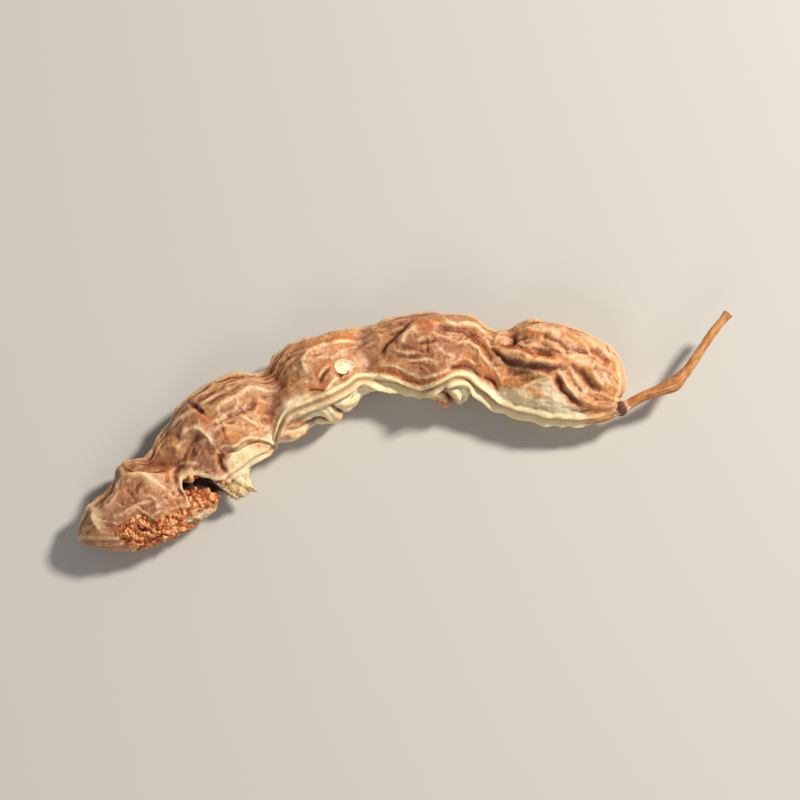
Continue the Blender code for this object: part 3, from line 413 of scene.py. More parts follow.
PALE_MARKS = (
    (0.55, 0.9, ((4.2, 0.8), (4.0, -0.2), (3.7, -1.4))),
    (0.60, 0.5, ((5.0, 0.2), (6.2, -0.4))),
    (0.40, 0.7, ((9.1, 1.5), (10.2, 0.9), (10.8, -0.6), (11.1, -1.5))),
    (0.50, 0.8, ((12.8, -2.6), (13.6, -1.8), (14.8, -2.4), (16.0, -4.0))),
    (0.70, 0.8, ((23.4, -3.3), (24.3, -4.2))),
    (0.60, 0.6, ((24.3, -1.2), (24.2, -2.5))),
    (0.60, 0.7, ((24.4, 2.0), (25.8, 1.3), (27.2, 0.5))),
    (0.80, 0.9, ((26.8, -1.6), (28.4, -1.5), (29.6, -1.2))),
    (0.60, 0.6, ((30.8, 2.2), (31.0, 1.4), (31.0, 0.0))),
    (0.90, 0.6, ((28.9, -2.9), (30.8, -3.4))),
    (0.35, 0.8, ((33.2, -3.6), (34.3, -3.5), (35.4, -3.1))),
    (1.20, 0.6, ((37.4, 3.8), (37.6, 1.5), (36.8, -0.8))),
    (0.12, 1.0, ((44.1, -0.5), (44.3, -0.5))),
    (0.12, 1.0, ((44.5, -0.9), (44.7, -1.0))),
    (0.60, 0.8, ((46.8, -3.4), (47.6, -3.6), (47.9, -4.6))),
    (0.90, 0.4, ((53.8, 2.9), (54.8, 3.2))),
    (0.90, 0.4, ((57.2, 3.0), (59.2, 3.2))),
    (0.90, 0.4, ((60.0, -0.3), (61.6, -0.8))),
    (0.90, 0.4, ((62.2, 1.6), (63.6, 1.6))),
    (0.50, 0.5, ((56.4, -0.7), (57.1, -1.1))),
    (1.00, 0.7, ((58.2, -2.7), (61.0, -3.0))),
    (0.30, 0.8, ((53.6, 4.1), (54.5, 4.5), (56.8, 4.7))),
    (0.35, 0.9, ((59.2, 5.2), (61.3, 4.5), (63.4, 3.3), (64.3, 2.0), (65.0, 0.7))),
)

# The loose flake of pale skin on the middle bead: its outline and middle as they are seen, (along, across),
# how closely it follows the skin, how far it stands off it, how far its two free edges curl up, and how
# ragged its outline and how creased its face are
FLAKE_OUTLINE = (
    (33.8, 0.3), (34.1, 1.0), (34.6, 1.2), (35.2, 0.9), (35.7, 0.5), (36.0, 0.1), (35.6, -0.35),
    (35.0, -0.5), (34.2, -0.45), (33.9, -0.1),
)
FLAKE_MIDDLE = (34.85, 0.3)
FLAKE_FOLLOW = 0.5
FLAKE_LIFT = 0.3
FLAKE_CURL = (0.3, 0.35)
FLAKE_THICKNESS = 0.1
FLAKE_RAGGED = 0.12
FLAKE_RAGGED_PITCH = 2.4
FLAKE_CREASE_RISE = 0.05
FLAKE_CREASE_PITCH = (1.2, 2.6, 0.0)
FLAKE_CREASE_SEED = (5.0, 1.0, 1.0)

# The upper limit of the cream margin along the seam, as it is seen on the upper side
CREAM_EDGE = (
    (0.8, -2.6), (8.0, -4.4), (12.0, -4.6), (16.8, -4.3), (18.3, -3.5), (19.6, -3.0), (21.5, -3.0),
    (23.2, -3.6), (24.4, -3.0), (26.2, -1.5), (28.2, -1.0), (30.2, -1.4), (32.2, -1.8), (34.4, -1.2),
    (36.0, -0.8), (38.3, -1.4), (40.0, -1.9), (41.6, -2.8), (43.3, -3.1), (45.0, -2.5), (46.6, -1.8),
    (48.3, -1.7), (50.0, -2.3), (52.8, -2.8), (54.3, -2.4), (55.2, -1.5), (56.2, -1.1), (57.2, -0.4),
    (58.1, -1.2), (59.4, -2.0), (61.2, -2.6), (62.6, -2.8), (65.2, -2.0),
)

# How far the cream margin reaches from the inner edge over the underside, where it fades in along the pod,
# how far blotches move its limit above and below, and how softly it ends there
CREAM_UNDER = 1.4
CREAM_START = (16.0, 19.0)
CREAM_UPPER_SWAY = 0.3
CREAM_UNDER_SWAY = 0.7
CREAM_UPPER_FADE = (-0.2, 0.35)
CREAM_UNDER_FADE = (-0.3, 0.5)
BACK_SEAM_CREAM = 0.45

# The hidden side is stained where the blotches are strongest
UNDER_STAIN = 0.7
UNDER_STAIN_FADE = (0.25, 0.6)

# How warm and light the skin is along the pod, 0 mauve to 1 tan
WARMTH = (
    (0.8, 0.35), (7.0, 0.1), (13.0, 0.55), (17.0, 0.2), (22.5, 0.5), (27.0, 0.7), (32.0, 0.5),
    (37.0, 0.85), (41.0, 0.2), (46.0, 0.15), (50.0, 0.6), (54.0, 0.35), (58.0, 0.6), (65.2, 0.8),
)

# How strongly amber shows through the skin along the pod
AMBER = (
    (0.8, 0.0), (9.0, 0.1), (12.0, 0.3), (15.0, 0.1), (24.0, 0.3), (36.0, 0.35), (41.0, 0.1), (48.0, 0.45),
    (56.0, 0.7), (65.2, 0.8),
)

# Width of the brown line in the groove of the seam, and how pale its lower lip is along the pod
GROOVE_WIDTH = 0.17
LOWER_LIP_PALE = ((0.8, 0.2), (35.0, 0.2), (38.0, 1.0), (65.2, 1.0))

# Ridges inside the tear: a second, inner edge, a band of rind and a fibre
TORN_RIDGES = (
    (0.20, 0.55, ((13.0, -2.9), (14.0, -3.5), (14.9, -4.0), (15.5, -4.6))),
    (0.32, 0.60, ((10.6, -5.9), (13.0, -6.6), (15.0, -7.4))),
    (0.20, 0.45, ((16.1, -5.0), (16.1, -5.9), (16.2, -6.9))),
)
# Rind and crumbled husk along the tear's lower edge
HUSK = (
    (0.55, 1.0, ((10.9, -6.2), (13.0, -6.7), (15.2, -7.3))),
    (0.45, 1.0, ((15.9, -5.0), (16.6, -6.2), (16.6, -7.6))),
    (0.40, 0.8, ((3.8, -4.0), (4.6, -5.0), (5.6, -6.4))),
)

# How ragged the tear's edge is, and how open it is where pulp begins to show and where it shows alone
TORN_RAGGED = 0.22
TORN_RAGGED_PITCH = (1.7, 0.8, 0.0)
TORN_SHOWS = (0.25, 0.75)

# The pale rim of the skin over the tear: where it fades in along the pod, how far it is set back, its width
RIM_START = (11.5, 12.5)
RIM_SETBACK = 0.1
RIM_WIDTH = 0.2

# How much the flaps and the seam's lips vary, and the noise that they vary by
FLAP_RAGGED = 0.45
FLAP_PITCH = (1.9, 2.0, 0.0)
FLAP_SEED = (0.6, 3.3, 7.7)
SEAM_UNEVEN = 0.45
SEAM_UNEVEN_PITCH = (0.9, 0.5, 0.0)
SEAM_UNEVEN_SEED = (2.2, 6.1, 0.7)

# How far the colour of a drawn line, a colour mark and a strewn line reach, in widths of each, how marks
# fade at their ends, the width of the pale line with its painted highlight on a crest, the share of a
# crease's width that is darkened with painted shade, and the rise at which a line has its full colour
LINE_COLOUR_REACH = 4
MARK_REACH = 3
SHRINK_REACH = 6
MARK_FADE = (-0.15, 0.15)
LIT_WIDTH = 0.15
CREASED_SHARE = 0.6
FULL_CREST = 0.35

# Small relief of the skin, from noise: sizes, rises and seeds
WAVER = 0.14
WAVER_PITCH = 1.1
WAVER_SEEDS = ((3.1, 0.4, 8.2), (9.7, 5.5, 1.3))
PORE_PITCH = 0.42
PORE_RISE = 0.035
PORE_SEED = (1.0, 2.0, 3.0)
LUMP_PITCH = 1.15
LUMP_RISE = 0.11
LUMP_SEED = (4.0, 8.0, 1.5)
PULP_PITCH = 0.75
PULP_LUMP = 0.28
PULP_SEED = (6.6, 0.2, 5.1)
BLOTCH_PITCH = 1.4
BLOTCH_SEED = (5.0, 5.0, 5.0)

# Short ridges and creases strewn over the skin: how many, where along the pod, and what they are drawn
# from. Each is a bent line of four legs.
SHRINK_LINES = 420
SHRINK_SEED = 11
SHRINK_SPAN = (2.0, 64.0)
SHRINK_HEADING = 1.1
SHRINK_LENGTHS = (1.0, 4.2)
SHRINK_BEND = 0.5
SHRINK_LEGS = (-1.0, -0.3, 0.3, 1.0)
SHRINK_WIDTHS = (0.13, 0.26)
SHRINK_RISES = (0.05, 0.15)
SINKING_SHARE = 0.3

# Over how many edges of the mesh creases and basins are told from crests, for the painted shade in them and
# the paler crests
VALLEY_STEPS = 3
BASIN_STEPS = 14

# (x, y, level above the ground, radius) of the stalk, from inside the pod to its snapped end
STALK = (
    (21.0, -7.9, 3.2, 0.78), (23.6, -9.1, 3.35, 0.76), (25.6, -9.5, 3.5, 0.62), (26.7, -9.35, 3.6, 0.58),
    (27.4, -9.2, 3.65, 0.82), (28.2, -9.0, 3.7, 0.56), (29.9, -8.55, 3.9, 0.52), (32.0, -8.35, 4.05, 0.60),
    (33.7, -8.0, 4.2, 0.74), (34.9, -7.3, 4.3, 0.56), (36.8, -5.7, 4.5, 0.48), (39.1, -3.65, 4.75, 0.46),
    (40.7, -2.45, 4.85, 0.46), (41.3, -2.0, 4.9, 0.56),
)
STALK_SIDES = 40
STALK_RINGS = 260
STALK_STEPS = 12
JOINT = (27.4, -9.2, 3.65)

# The stalk's furrowed surface: turn a millimetre, ribs round it and how they sway, sizes of its noise, and
# what each takes of its radius
STALK_TWIST = 0.12
COARSE_RIBS = 3.5
COARSE_RIB = 0.5
RIB_SWAY = 0.6
RIB_SWAY_RATE = 0.5
FINE_RIBS = 11
FINE_RIB = 0.3
STALK_PITCH = (2.4, 1.3)
FIBRE_STRETCH = (1.0, 2.2, 2.2)
FIBRE_SEED = (0.3, 0.9, 4.0)
KNOT_STRETCH = (3.5, 1.0, 1.0)
KNOT_SEED = (8.0, 1.0, 2.0)
SPLINTER_STRETCH = (1.0, 4.0, 4.0)
SPLINTER_SEED = (1.0, 7.0, 3.0)
RIB_SHARE = 0.07
FIBRE_SHARE = 0.12
KNOT_SHARE = 0.09
SPLINTERED = (0.985, 1.0)
SPLINTER_THINNED = 0.25
SPLINTER_SUNK = 0.35

# Where the stalk's joint, the pale scurf round it and the pale neck inside the pod begin and end, taken as
# distances below zero, and how far knots and fibres move the limits
JOINT_FADE = (-0.9, -0.3)
FUZZ_RADIUS = 0.7
FUZZ_FADE = (-0.35, 0.0)
NECK_FADE = (-6.0, -2.0)
JOINT_SWAY = 0.3

# Crumbs of pulp: how many are kept of how many tries, what they are drawn from, and where none may lie
GRAINS = 420
GRAIN_TRIES = 9000
GRAIN_ANGLES = (math.radians(95), math.radians(225))
GRAIN_RADII = (0.14, 0.36)
GRAIN_STRETCH = (0.55, 1.25)
GRAIN_SCATTER = 0.06
GRAIN_ROUGH = 0.8
GRAIN_ROUGH_SCALE = 3.3
GRAIN_SEED = 5
DEEP_PULP = 0.9
DEEP_HOLLOW = 0.42
CLEAR_OF_HUSK = 0.4
CLEAR_OF_RIM = 0.1

# How far off, towards the view, a line of sight starts that looks for a point of the skin
LOOK_FROM = 20

# The least length that anything is divided by
TINY = 1e-12

# The camera looks at the pod as the photograph does
LENS = 135
SENSOR = 36
FRAME_FILL = 0.86


def srgb(red, green, blue):
    """A linear colour from the 0 to 255 values that a screen shows."""
    shares = (value / 255 for value in (red, green, blue))
    return tuple(c / 12.92 if c <= 0.04 else ((c + 0.055) / 1.055) ** 2.4 for c in shares) + (1.0,)


def smooth(points, at):
    """The value at each place in at, on the smooth curve through (place, value) points."""
    places, values = np.array(points, float).T
    slopes = np.gradient(values, places)
    left = np.clip(np.searchsorted(places, at) - 1, 0, len(places) - 2)
    gap = places[left + 1] - places[left]
    t = np.clip((at - places[left]) / gap, 0.0, 1.0)
    rest = 1.0 - t
    ends = values[left] * (1 + 2 * t) * rest**2 + values[left + 1] * (3 - 2 * t) * t**2
    return ends + gap * (slopes[left] * t * rest**2 - slopes[left + 1] * rest * t**2)


def linear(points, at):
    """The value at each place in at, on straight lines through (place, value) points."""
    return np.interp(at, *np.transpose(points))


def ramp(value, low, high):
    """0 below low, 1 above high, and a smooth rise between."""
    t = np.clip((value - low) / (high - low), 0.0, 1.0)
    return t * t * (3 - 2 * t)


def bell(distance, width):
    """1 at no distance, falling off on both sides as a round hill does."""
    return np.exp(-((distance / width) ** 2))


def faded(share, limits):
    """1 along a path, falling to 0 at its two ends, by the share of the path that lies behind a place."""
    return ramp(share, *limits) * ramp(1 - share, *limits)


def smooth_path(points, steps):
    """A polyline with that many steps between each two points, through all of them."""
    points = np.array(points, float)
    knots = np.concatenate([[0.0], np.cumsum(np.linalg.norm(np.diff(points, axis=0), axis=1))])
    count = len(points) - 1
    at = np.interp(np.linspace(0, count, steps * count + 1), np.arange(count + 1), knots)
    return np.stack([smooth(list(zip(knots, column)), at) for column in points.T], axis=1)


def spine_frame(along):
    """The spine's point in plan and its unit normal towards the outer side, at each place along it."""
    corners = np.array(SPINE)
    knots = np.concatenate([[0.0], np.cumsum(np.linalg.norm(np.diff(corners, axis=0), axis=1))])
    x_points = list(zip(knots, corners[:, 0]))
    y_points = list(zip(knots, corners[:, 1]))
    ahead, behind = along + TANGENT_STEP, along - TANGENT_STEP
    tangent = np.stack([
        smooth(x_points, ahead) - smooth(x_points, behind),
        smooth(y_points, ahead) - smooth(y_points, behind),
    ], axis=1)
    tangent /= np.linalg.norm(tangent, axis=1)[:, None]
    point = np.stack([smooth(x_points, along), smooth(y_points, along)], axis=1)
    return point, np.stack([-tangent[:, 1], tangent[:, 0]], axis=1)


def cap(along):
    """1 over the pod's length, falling to 0 at its two ends as a round end does."""
    from_tip = np.clip((along - TIP_ALONG) / TIP_CAP, 0.0, 1.0)
    from_base = np.clip((BASE_ALONG - along) / BASE_CAP, 0.0, 1.0)
    return np.sqrt(1 - (1 - from_tip) ** 2) * np.sqrt(1 - (1 - from_base) ** 2)


def seen(along, across, level):
    """Where a point of the pod is seen, along and across the spine, from the view above."""
    _, normal = spine_frame(along)
    tangent = np.column_stack([normal[:, 1], -normal[:, 0]])
    away = np.array([-math.sin(VIEW_AZIMUTH), math.cos(VIEW_AZIMUTH)])
    lean = (level - SPINE_LEVEL) / math.tan(VIEW_ELEVATION)
    return along + lean * (tangent @ away), across + lean * (normal @ away)


def plain_section(along, turned, size):
    """Across, level and the speed round the section of the plain skin, a rounded oval, at a true angle."""
    outer = smooth(OUTER_EDGE, along)
    inner = smooth(INNER_EDGE, along)
    half = (outer - inner) / 2 * size
    cosine, sine = np.cos(turned), np.sin(turned)
    height = np.where(sine > 0, smooth(UPPER_HEIGHT, along), smooth(UNDER_HEIGHT, along)) * size
    across = (outer + inner) / 2 + half * np.sign(cosine) * np.abs(cosine) ** (2 / SECTION_POWER)
    level = SPINE_LEVEL + height * np.sign(sine) * np.abs(sine) ** (2 / SECTION_POWER)
    return across, level, np.hypot(half * sine, height * cosine)


def seam_turn(along):
    """The true angle round the section at which the seam is seen where SEAM says, found by halving."""
    places, rows = np.unique(along, return_inverse=True)
    low = np.full(len(places), SEAM_LIMITS[0])
    high = np.full(len(places), SEAM_LIMITS[1])
    for _ in range(SEAM_HALVINGS):
        middle = (low + high) / 2
        across, level, _ = plain_section(places, middle, 1.0)
        at, over = seen(places, across, level)
        beyond = over < smooth(SEAM, at)
        high = np.where(beyond, middle, high)
        low = np.where(beyond, low, middle)
    return ((low + high) / 2)[rows]


def section(along, angle):
    """Across, level and other facts of the plain skin at an angle round the section.

    The angle is 0 at the outer edge, a quarter turn on top and a half turn at the inner edge. On the
    upper side it is stretched so that SEAM_COLUMN_ANGLE is always the seam.
    """
    seam_angle = seam_turn(along)
    before = angle * seam_angle / SEAM_COLUMN_ANGLE
    stretch = (math.pi - seam_angle) / (math.pi - SEAM_COLUMN_ANGLE)
    after = seam_angle + (angle - SEAM_COLUMN_ANGLE) * stretch
    turned = np.where(angle < SEAM_COLUMN_ANGLE, before, np.where(angle < math.pi, after, angle))
    across, level, speed = plain_section(along, turned, cap(along))
    return across, level, turned, seam_angle, speed


def place(along, across, level):
    """Points in millimetres, before the plan is centred, from places along and across the spine."""
    point, normal = spine_frame(along)
    plan = point + normal * across[:, None]
    return np.column_stack([plan, level])


def noise_at(places, seed=(0.0, 0.0, 0.0)):
    """Smooth noise, about -1 to 1, at each row of places."""
    offset = Vector(seed)
    return np.array([noise.noise(Vector(row) + offset) for row in places])


def stacked(first, second):
    """Rows of two values and a zero, to look noise up in a plane."""
    return np.column_stack([first, second, np.zeros(len(first))])


def distance_to(path, along, across):
    """Distance of each place to a path in plan, the side it is on, and how far along the path that is."""
    nearest = np.full(len(along), np.inf)
    side = np.zeros(len(along))
    share = np.zeros(len(along))
    count = len(path) - 1
    for i in range(count):
        start, run = path[i], path[i + 1] - path[i]
        offset = np.column_stack([along - start[0], across - start[1]])
        t = np.clip(offset @ run / (run @ run), 0.0, 1.0)
        gap = np.hypot(*(offset - t[:, None] * run).T)
        closer = gap < nearest
        nearest = np.where(closer, gap, nearest)
        side = np.where(closer, np.sign(run[0] * offset[:, 1] - run[1] * offset[:, 0]), side)
        share = np.where(closer, (i + t) / count, share)
    return nearest, side, share


def near(path, along, across, reach):
    """Which places lie within reach of the box round a path."""
    low, high = path.min(axis=0) - reach, path.max(axis=0) + reach
    return (along > low[0]) & (along < high[0]) & (across > low[1]) & (across < high[1])


def tent(gap, width):
    """The share of a ridge's rise that is left at a distance from its crest, as in a hung tent."""
    return np.exp((CREST_ROUNDING - np.hypot(gap, CREST_ROUNDING)) / (TENT_REACH * width))


def drawn_lines(lines, along, across):
    """The rise of the ridges and creases drawn on one side of the skin. Each fades out at its ends.

    A ridge holds the skin up like a tent pole, so the skin sinks away from it in a hollow curve. Where
    ridges meet, the highest counts most.
    """
    ridges = np.zeros(len(along))
    creases = np.zeros(len(along))
    for width, height, points in lines:
        path = smooth_path(points, PATH_STEPS)
        close = near(path, along, across, TENT_LIMIT * width)
        gap, _, share = distance_to(path, along[close], across[close])
        fade = faded(share, LINE_FADE)
        if height > 0:
            ridges[close] += (height * fade * tent(gap, width)) ** 3
        else:
            creases[close] += height * fade * bell(gap, width)
    return np.cbrt(ridges) + creases


def line_colours(lines, along, across):
    """How pale a drawn crest and how dark a drawn crease makes each place, 0 to 1: a pale line with a
    painted highlight on a crest, painted shade along a crease.
    """
    lit = np.zeros(len(along))
    creased = np.zeros(len(along))
    for width, height, points in lines:
        path = smooth_path(points, PATH_STEPS)
        close = near(path, along, across, LINE_COLOUR_REACH * width)
        gap, _, share = distance_to(path, along[close], across[close])
        most = min(1.0, abs(height) / FULL_CREST) * faded(share, LINE_FADE)
        if height > 0:
            lit[close] = np.maximum(lit[close], most * bell(gap, LIT_WIDTH))
        else:
            creased[close] = np.maximum(creased[close], most * bell(gap, CREASED_SHARE * width))
    return lit, creased


def drawn_folds(folds, along, across):
    """The rise of the folds: a lip that stands up slowly and drops off sharply."""
    rise = np.zeros(len(along))
    for lip, reach, drop, points in folds:
        gap, side, share = distance_to(smooth_path(points, PATH_STEPS), along, across)
        fade = faded(share, FOLD_FADE)
        on_lip = lip * bell(gap, reach)
        in_drop = -drop * bell(gap, DROP_REACH * reach)
        signed = gap * side
        rise += fade * (in_drop + (on_lip - in_drop) * ramp(signed, -FOLD_STEP, FOLD_STEP))
    return rise


def dented(dents, along, across):
    """The rise of round dents and swellings drawn on the skin."""
    rise = np.zeros(len(along))
    for at, over, reach_along, reach_across, height in dents:
        from_middle = ((along - at) / reach_along) ** 2 + ((across - over) / reach_across) ** 2
        rise += height * np.exp(-from_middle)
    return rise


def marks(strokes, along, across):
    """How strong the nearest colour mark is at each place, 0 to 1."""
    strength = np.zeros(len(along))
    for width, most, points in strokes:
        path = smooth_path(points, PATH_STEPS)
        close = near(path, along, across, MARK_REACH * width)
        gap, _, share = distance_to(path, along[close], across[close])
        fade = faded(share, MARK_FADE)
        strength[close] = np.maximum(strength[close], most * fade * bell(gap, width))
    return strength


def torn(at, over, level):
    """How torn the skin is, 0 to 1, at places where they are seen, and what the tear is made up from.

    These are how far in from the tear's edge a place is, how deep the pulp lies, how much of that is a
    hollow, and how far the tear's two ends leave it open.
    """
    edge = smooth_path(TORN_EDGE, PATH_STEPS)
    ragged = TORN_RAGGED * noise_at(stacked(at, over) * TORN_RAGGED_PITCH, WRINKLE_SEED)
    inside = np.interp(at, edge[:, 0], edge[:, 1]) + ragged - over
    ends = ramp(at - TORN_EDGE[0][0], 0.0, TORN_FADE) * ramp(TORN_EDGE[-1][0] - at, 0.0, TORN_FADE)
    opened = ends * ramp(inside, 0.0, TORN_WALL) * ramp(level, *TORN_FLOOR)
    hollow = dented(TORN_HOLLOWS, at, over)
    return opened, inside, opened * (TORN_SUNK + hollow), opened * hollow, ends


def wrinkles(along, angle):
    """Shrinkage: crests that wander lengthwise, from noise wrapped round the pod so that it has no join."""
    round_pod = GIRTH_RADIUS / WRINKLE_PITCH
    places = np.column_stack([
        along / WRINKLE_LENGTH,
        round_pod * np.cos(angle),
        round_pod * np.sin(angle),
    ])
    offset = Vector(WRINKLE_SEED)
    rise = np.zeros(len(along))
    for i, row in enumerate(places):
        at = Vector(row) + offset
        sway = noise.noise(at * (WRINKLE_LENGTH / SWAY_LENGTH)) * SWAY
        at.y += sway
        at.z -= sway
        coarse = 1 - CREST_SLOPE * abs(noise.noise(at))
        fine = 1 - CREST_SLOPE * abs(noise.noise(at * FINE_PITCH + offset))
        rise[i] = COARSE_SHARE * coarse + FINE_SHARE * (fine - 1)
    return rise * WRINKLE_RISE


def shrink_lines(along, angle):
    """Hundreds of short, low ridges and creases, strewn by a seeded draw over the skin laid out flat."""
    draw = np.random.default_rng(SHRINK_SEED)
    girth = 2 * math.pi * GIRTH_RADIUS
    around = angle * GIRTH_RADIUS
    ridges = np.zeros(len(along))
    creases = np.zeros(len(along))
    for _ in range(SHRINK_LINES):
        middle = np.array([draw.uniform(*SHRINK_SPAN), draw.uniform(0.0, girth)])
        heading = draw.normal(0.0, SHRINK_HEADING)
        length = draw.uniform(*SHRINK_LENGTHS)
        bend = draw.normal(0.0, SHRINK_BEND)
        width = draw.uniform(*SHRINK_WIDTHS)
        rise = draw.uniform(*SHRINK_RISES)
        sinks = draw.random() < SINKING_SHARE
        turns = heading + bend * np.array(SHRINK_LEGS)
        legs = np.column_stack([np.cos(turns), np.sin(turns)]) * length / len(SHRINK_LEGS)
        path = middle + np.concatenate([[[0.0, 0.0]], np.cumsum(legs, axis=0)]) - legs.sum(axis=0) / 2
        for shift in (-girth, 0.0, girth):
            shifted = path + (0.0, shift)
            close = near(shifted, along, around, SHRINK_REACH * width)
            if not close.any():
                continue
            gap, _, share = distance_to(shifted, along[close], around[close])
            fade = np.sin(math.pi * np.clip(share, 0.0, 1.0))
            if sinks:
                creases[close] -= rise * fade * bell(gap, width)
            else:
                ridges[close] += (rise * fade * tent(gap, width)) ** 3
    return np.cbrt(ridges) + creases


def wavered(at, over):
    """Places moved a little by noise, so that what is drawn there wanders as a grown line does."""
    places = stacked(at, over) / WAVER_PITCH
    along_seed, across_seed = WAVER_SEEDS
    return at + WAVER * noise_at(places, along_seed), over + WAVER * noise_at(places, across_seed)


def skin_normal(along, angle, base):
    """The outward normal of the plain skin at each of its points."""
    ahead = section(along + NORMAL_STEP, angle)
    turned_on = section(along, angle + NORMAL_TURN)
    lengthwise = place(along + NORMAL_STEP, ahead[0], ahead[1]) - base
    crosswise = place(along, turned_on[0], turned_on[1]) - base
    normal = np.cross(crosswise, lengthwise)
    return normal / np.maximum(np.linalg.norm(normal, axis=1), TINY)[:, None]


def seam_parts(along, turned, seam_angle, speed):
    """Strengths of the parts of the double seam, and of the back seam, at each point of the skin."""
    from_seam = (turned - seam_angle) * speed
    offset = linear(LIP_OFFSET, along)
    from_back = (np.remainder(turned - BACK_SEAM_ANGLE + math.pi, 2 * math.pi) - math.pi) * speed
    sway = noise_at(stacked(along, from_seam) * SEAM_UNEVEN_PITCH, SEAM_UNEVEN_SEED)
    return {
        "uneven": 1 + SEAM_UNEVEN * sway,
        "upper lip": bell(from_seam + offset, LIP_WIDTH),
        "lower lip": bell(from_seam - offset, LIP_WIDTH),
        "swell": bell(from_seam, SEAM_SWELL_WIDTH),
        "groove": bell(from_seam, GROOVE_WIDTH),
        "back": bell(from_back, BACK_SEAM_WIDTH),
    }


def skin_colours(along, across, sine, at, over, blotch):
    """Facts that the colours of whole skin need: the cream margin, the drawn lines and the marks."""
    on_top = ramp(sine, *RELIEF_FADE)
    on_inner = ramp(sine, *PLEAT_FADE)
    below = ramp(-sine, *RELIEF_FADE)
    cream_top = ramp(smooth(CREAM_EDGE, at) - over + CREAM_UPPER_SWAY * blotch, *CREAM_UPPER_FADE)
    from_inner = across - smooth(INNER_EDGE, along)
    cream_under = ramp(CREAM_UNDER + CREAM_UNDER_SWAY * blotch - from_inner, *CREAM_UNDER_FADE)
    top_lit, top_creased = line_colours(UPPER_LINES + FINE_UPPER_LINES, at, over)
    pleat_lit, pleat_creased = line_colours(PLEATS + FINE_PLEATS, at, over)
    under_lit, under_creased = line_colours(UNDER_LINES, along, across)
    under_stain = UNDER_STAIN * below * ramp(blotch, *UNDER_STAIN_FADE)
    return {
        "cream": np.where(sine > 0, cream_top, cream_under) * ramp(along, *CREAM_START),
        "lit": np.maximum.reduce([on_top * top_lit, on_inner * pleat_lit, below * under_lit]),
        "creased": np.maximum.reduce([
            on_top * top_creased,
            on_inner * pleat_creased,
            below * under_creased,
        ]),
        "stain_and_shade": np.maximum(on_inner * marks(STAIN_AND_SHADE_MARKS, at, over), under_stain),
        "dark": on_inner * marks(DARK_SPOTS_AND_SHADE, at, over),
        "pale": on_inner * marks(PALE_MARKS, at, over),
        "warmth": smooth(WARMTH, along),
        "amber": linear(AMBER, along),
    }


def drawn_relief(along, across, sine, at, over):
    """The rise of everything that is drawn on the skin one by one."""
    upper = drawn_lines(UPPER_LINES + FINE_UPPER_LINES, at, over) + drawn_folds(UPPER_FOLDS, at, over)
    rise = ramp(sine, *RELIEF_FADE) * (upper + dented(UPPER_DENTS, at, over))
    rise += ramp(sine, *PLEAT_FADE) * drawn_lines(PLEATS + FINE_PLEATS, at, over)
    rise += ramp(-sine, *RELIEF_FADE) * drawn_lines(UNDER_LINES, along, across)
    return rise


def pulp_floor(along, across, level, sunk):
    """Points of the plain skin, sunk towards the middle of their section where the pulp lies bare."""
    middle = (smooth(OUTER_EDGE, along) + smooth(INNER_EDGE, along)) / 2
    inward = np.column_stack([middle - across, SPINE_LEVEL - level])
    depth = np.minimum(sunk / np.maximum(np.linalg.norm(inward, axis=1), TINY), DEEPEST_SHARE)
    return place(along, across + depth * inward[:, 0], level + depth * inward[:, 1])


def skin(along, angle):
    """Points of the shrunken skin in millimetres, and what its colours need to know of each."""
    across, level, turned, seam_angle, speed = section(along, angle)
    at, over = wavered(*seen(along, across, level))
    opened, inside, sunk, hollow, ends = torn(at, over, level)
    sine = np.sin(turned)

    strength = linear(SEAM_STRENGTH, along)
    seam = seam_parts(along, turned, seam_angle, speed)
    lips = (UPPER_LIP_RISE * seam["upper lip"] + LOWER_LIP_RISE * seam["lower lip"]) * seam["uneven"]
    rise = drawn_relief(along, across, sine, at, over)
    rise += strength * (lips + SEAM_SWELL_RISE * seam["swell"])
    rise += BACK_SEAM_RISE * seam["back"] * seam["uneven"]

    calm = 1 - SEAM_CALM * seam["swell"]
    wrapped = np.column_stack([along, GIRTH_RADIUS * np.cos(turned), GIRTH_RADIUS * np.sin(turned)])
    rise += calm * (wrinkles(along, turned) + shrink_lines(along, turned))
    rise += PORE_RISE * noise_at(wrapped / PORE_PITCH, PORE_SEED)
    rise += LUMP_RISE * calm * noise_at(wrapped / LUMP_PITCH, LUMP_SEED)

    pulp_lumps = 1 - CREST_SLOPE * np.abs(noise_at(wrapped / PULP_PITCH, PULP_SEED))
    in_tear = PULP_LUMP * pulp_lumps + drawn_lines(TORN_RIDGES, at, over)
    lip = ends * TORN_LIP_RISE * bell(inside + TORN_LIP_SETBACK, TORN_LIP_WIDTH) * (1 - opened)
    lip = np.where(level > SPINE_LEVEL, lip, 0.0)
    rise = (rise * (1 - opened) + opened * in_tear + lip) * ramp(cap(along), 0.0, END_RELIEF)

    tattered = 1 + FLAP_RAGGED * noise_at(stacked(along, turned) * FLAP_PITCH, FLAP_SEED)
    hang = linear(FLAPS, along) * tattered * bell((turned - math.pi) * speed, FLAP_WIDTH)
    normal = skin_normal(along, angle, place(along, across, level))
    points = pulp_floor(along, across, level, sunk) + normal * (rise + hang)[:, None]

    tear_lit, _ = line_colours(TORN_RIDGES, at, over)
    blotch = noise_at(wrapped / BLOTCH_PITCH, BLOTCH_SEED)
    facts = skin_colours(along, across, sine, at, over, blotch)
    facts["cream"] = np.clip(np.maximum(facts["cream"], BACK_SEAM_CREAM * seam["back"]), 0.0, 1.0)
    pale_lower_lip = linear(LOWER_LIP_PALE, along) * seam["lower lip"]
    facts["lips"] = strength * np.maximum(seam["upper lip"], pale_lower_lip)
    facts["groove"] = strength * seam["groove"]
    facts["pulp"] = ramp(opened, *TORN_SHOWS)
    facts["hollow"] = hollow
    facts["rim"] = ends * ramp(at, *RIM_START) * bell(inside + RIM_SETBACK, RIM_WIDTH)
    facts["rind"] = opened * tear_lit
    facts["husk"] = opened * marks(HUSK, at, over)
    facts["flap"] = np.clip(hang, 0.0, 1.0)
    return points, facts


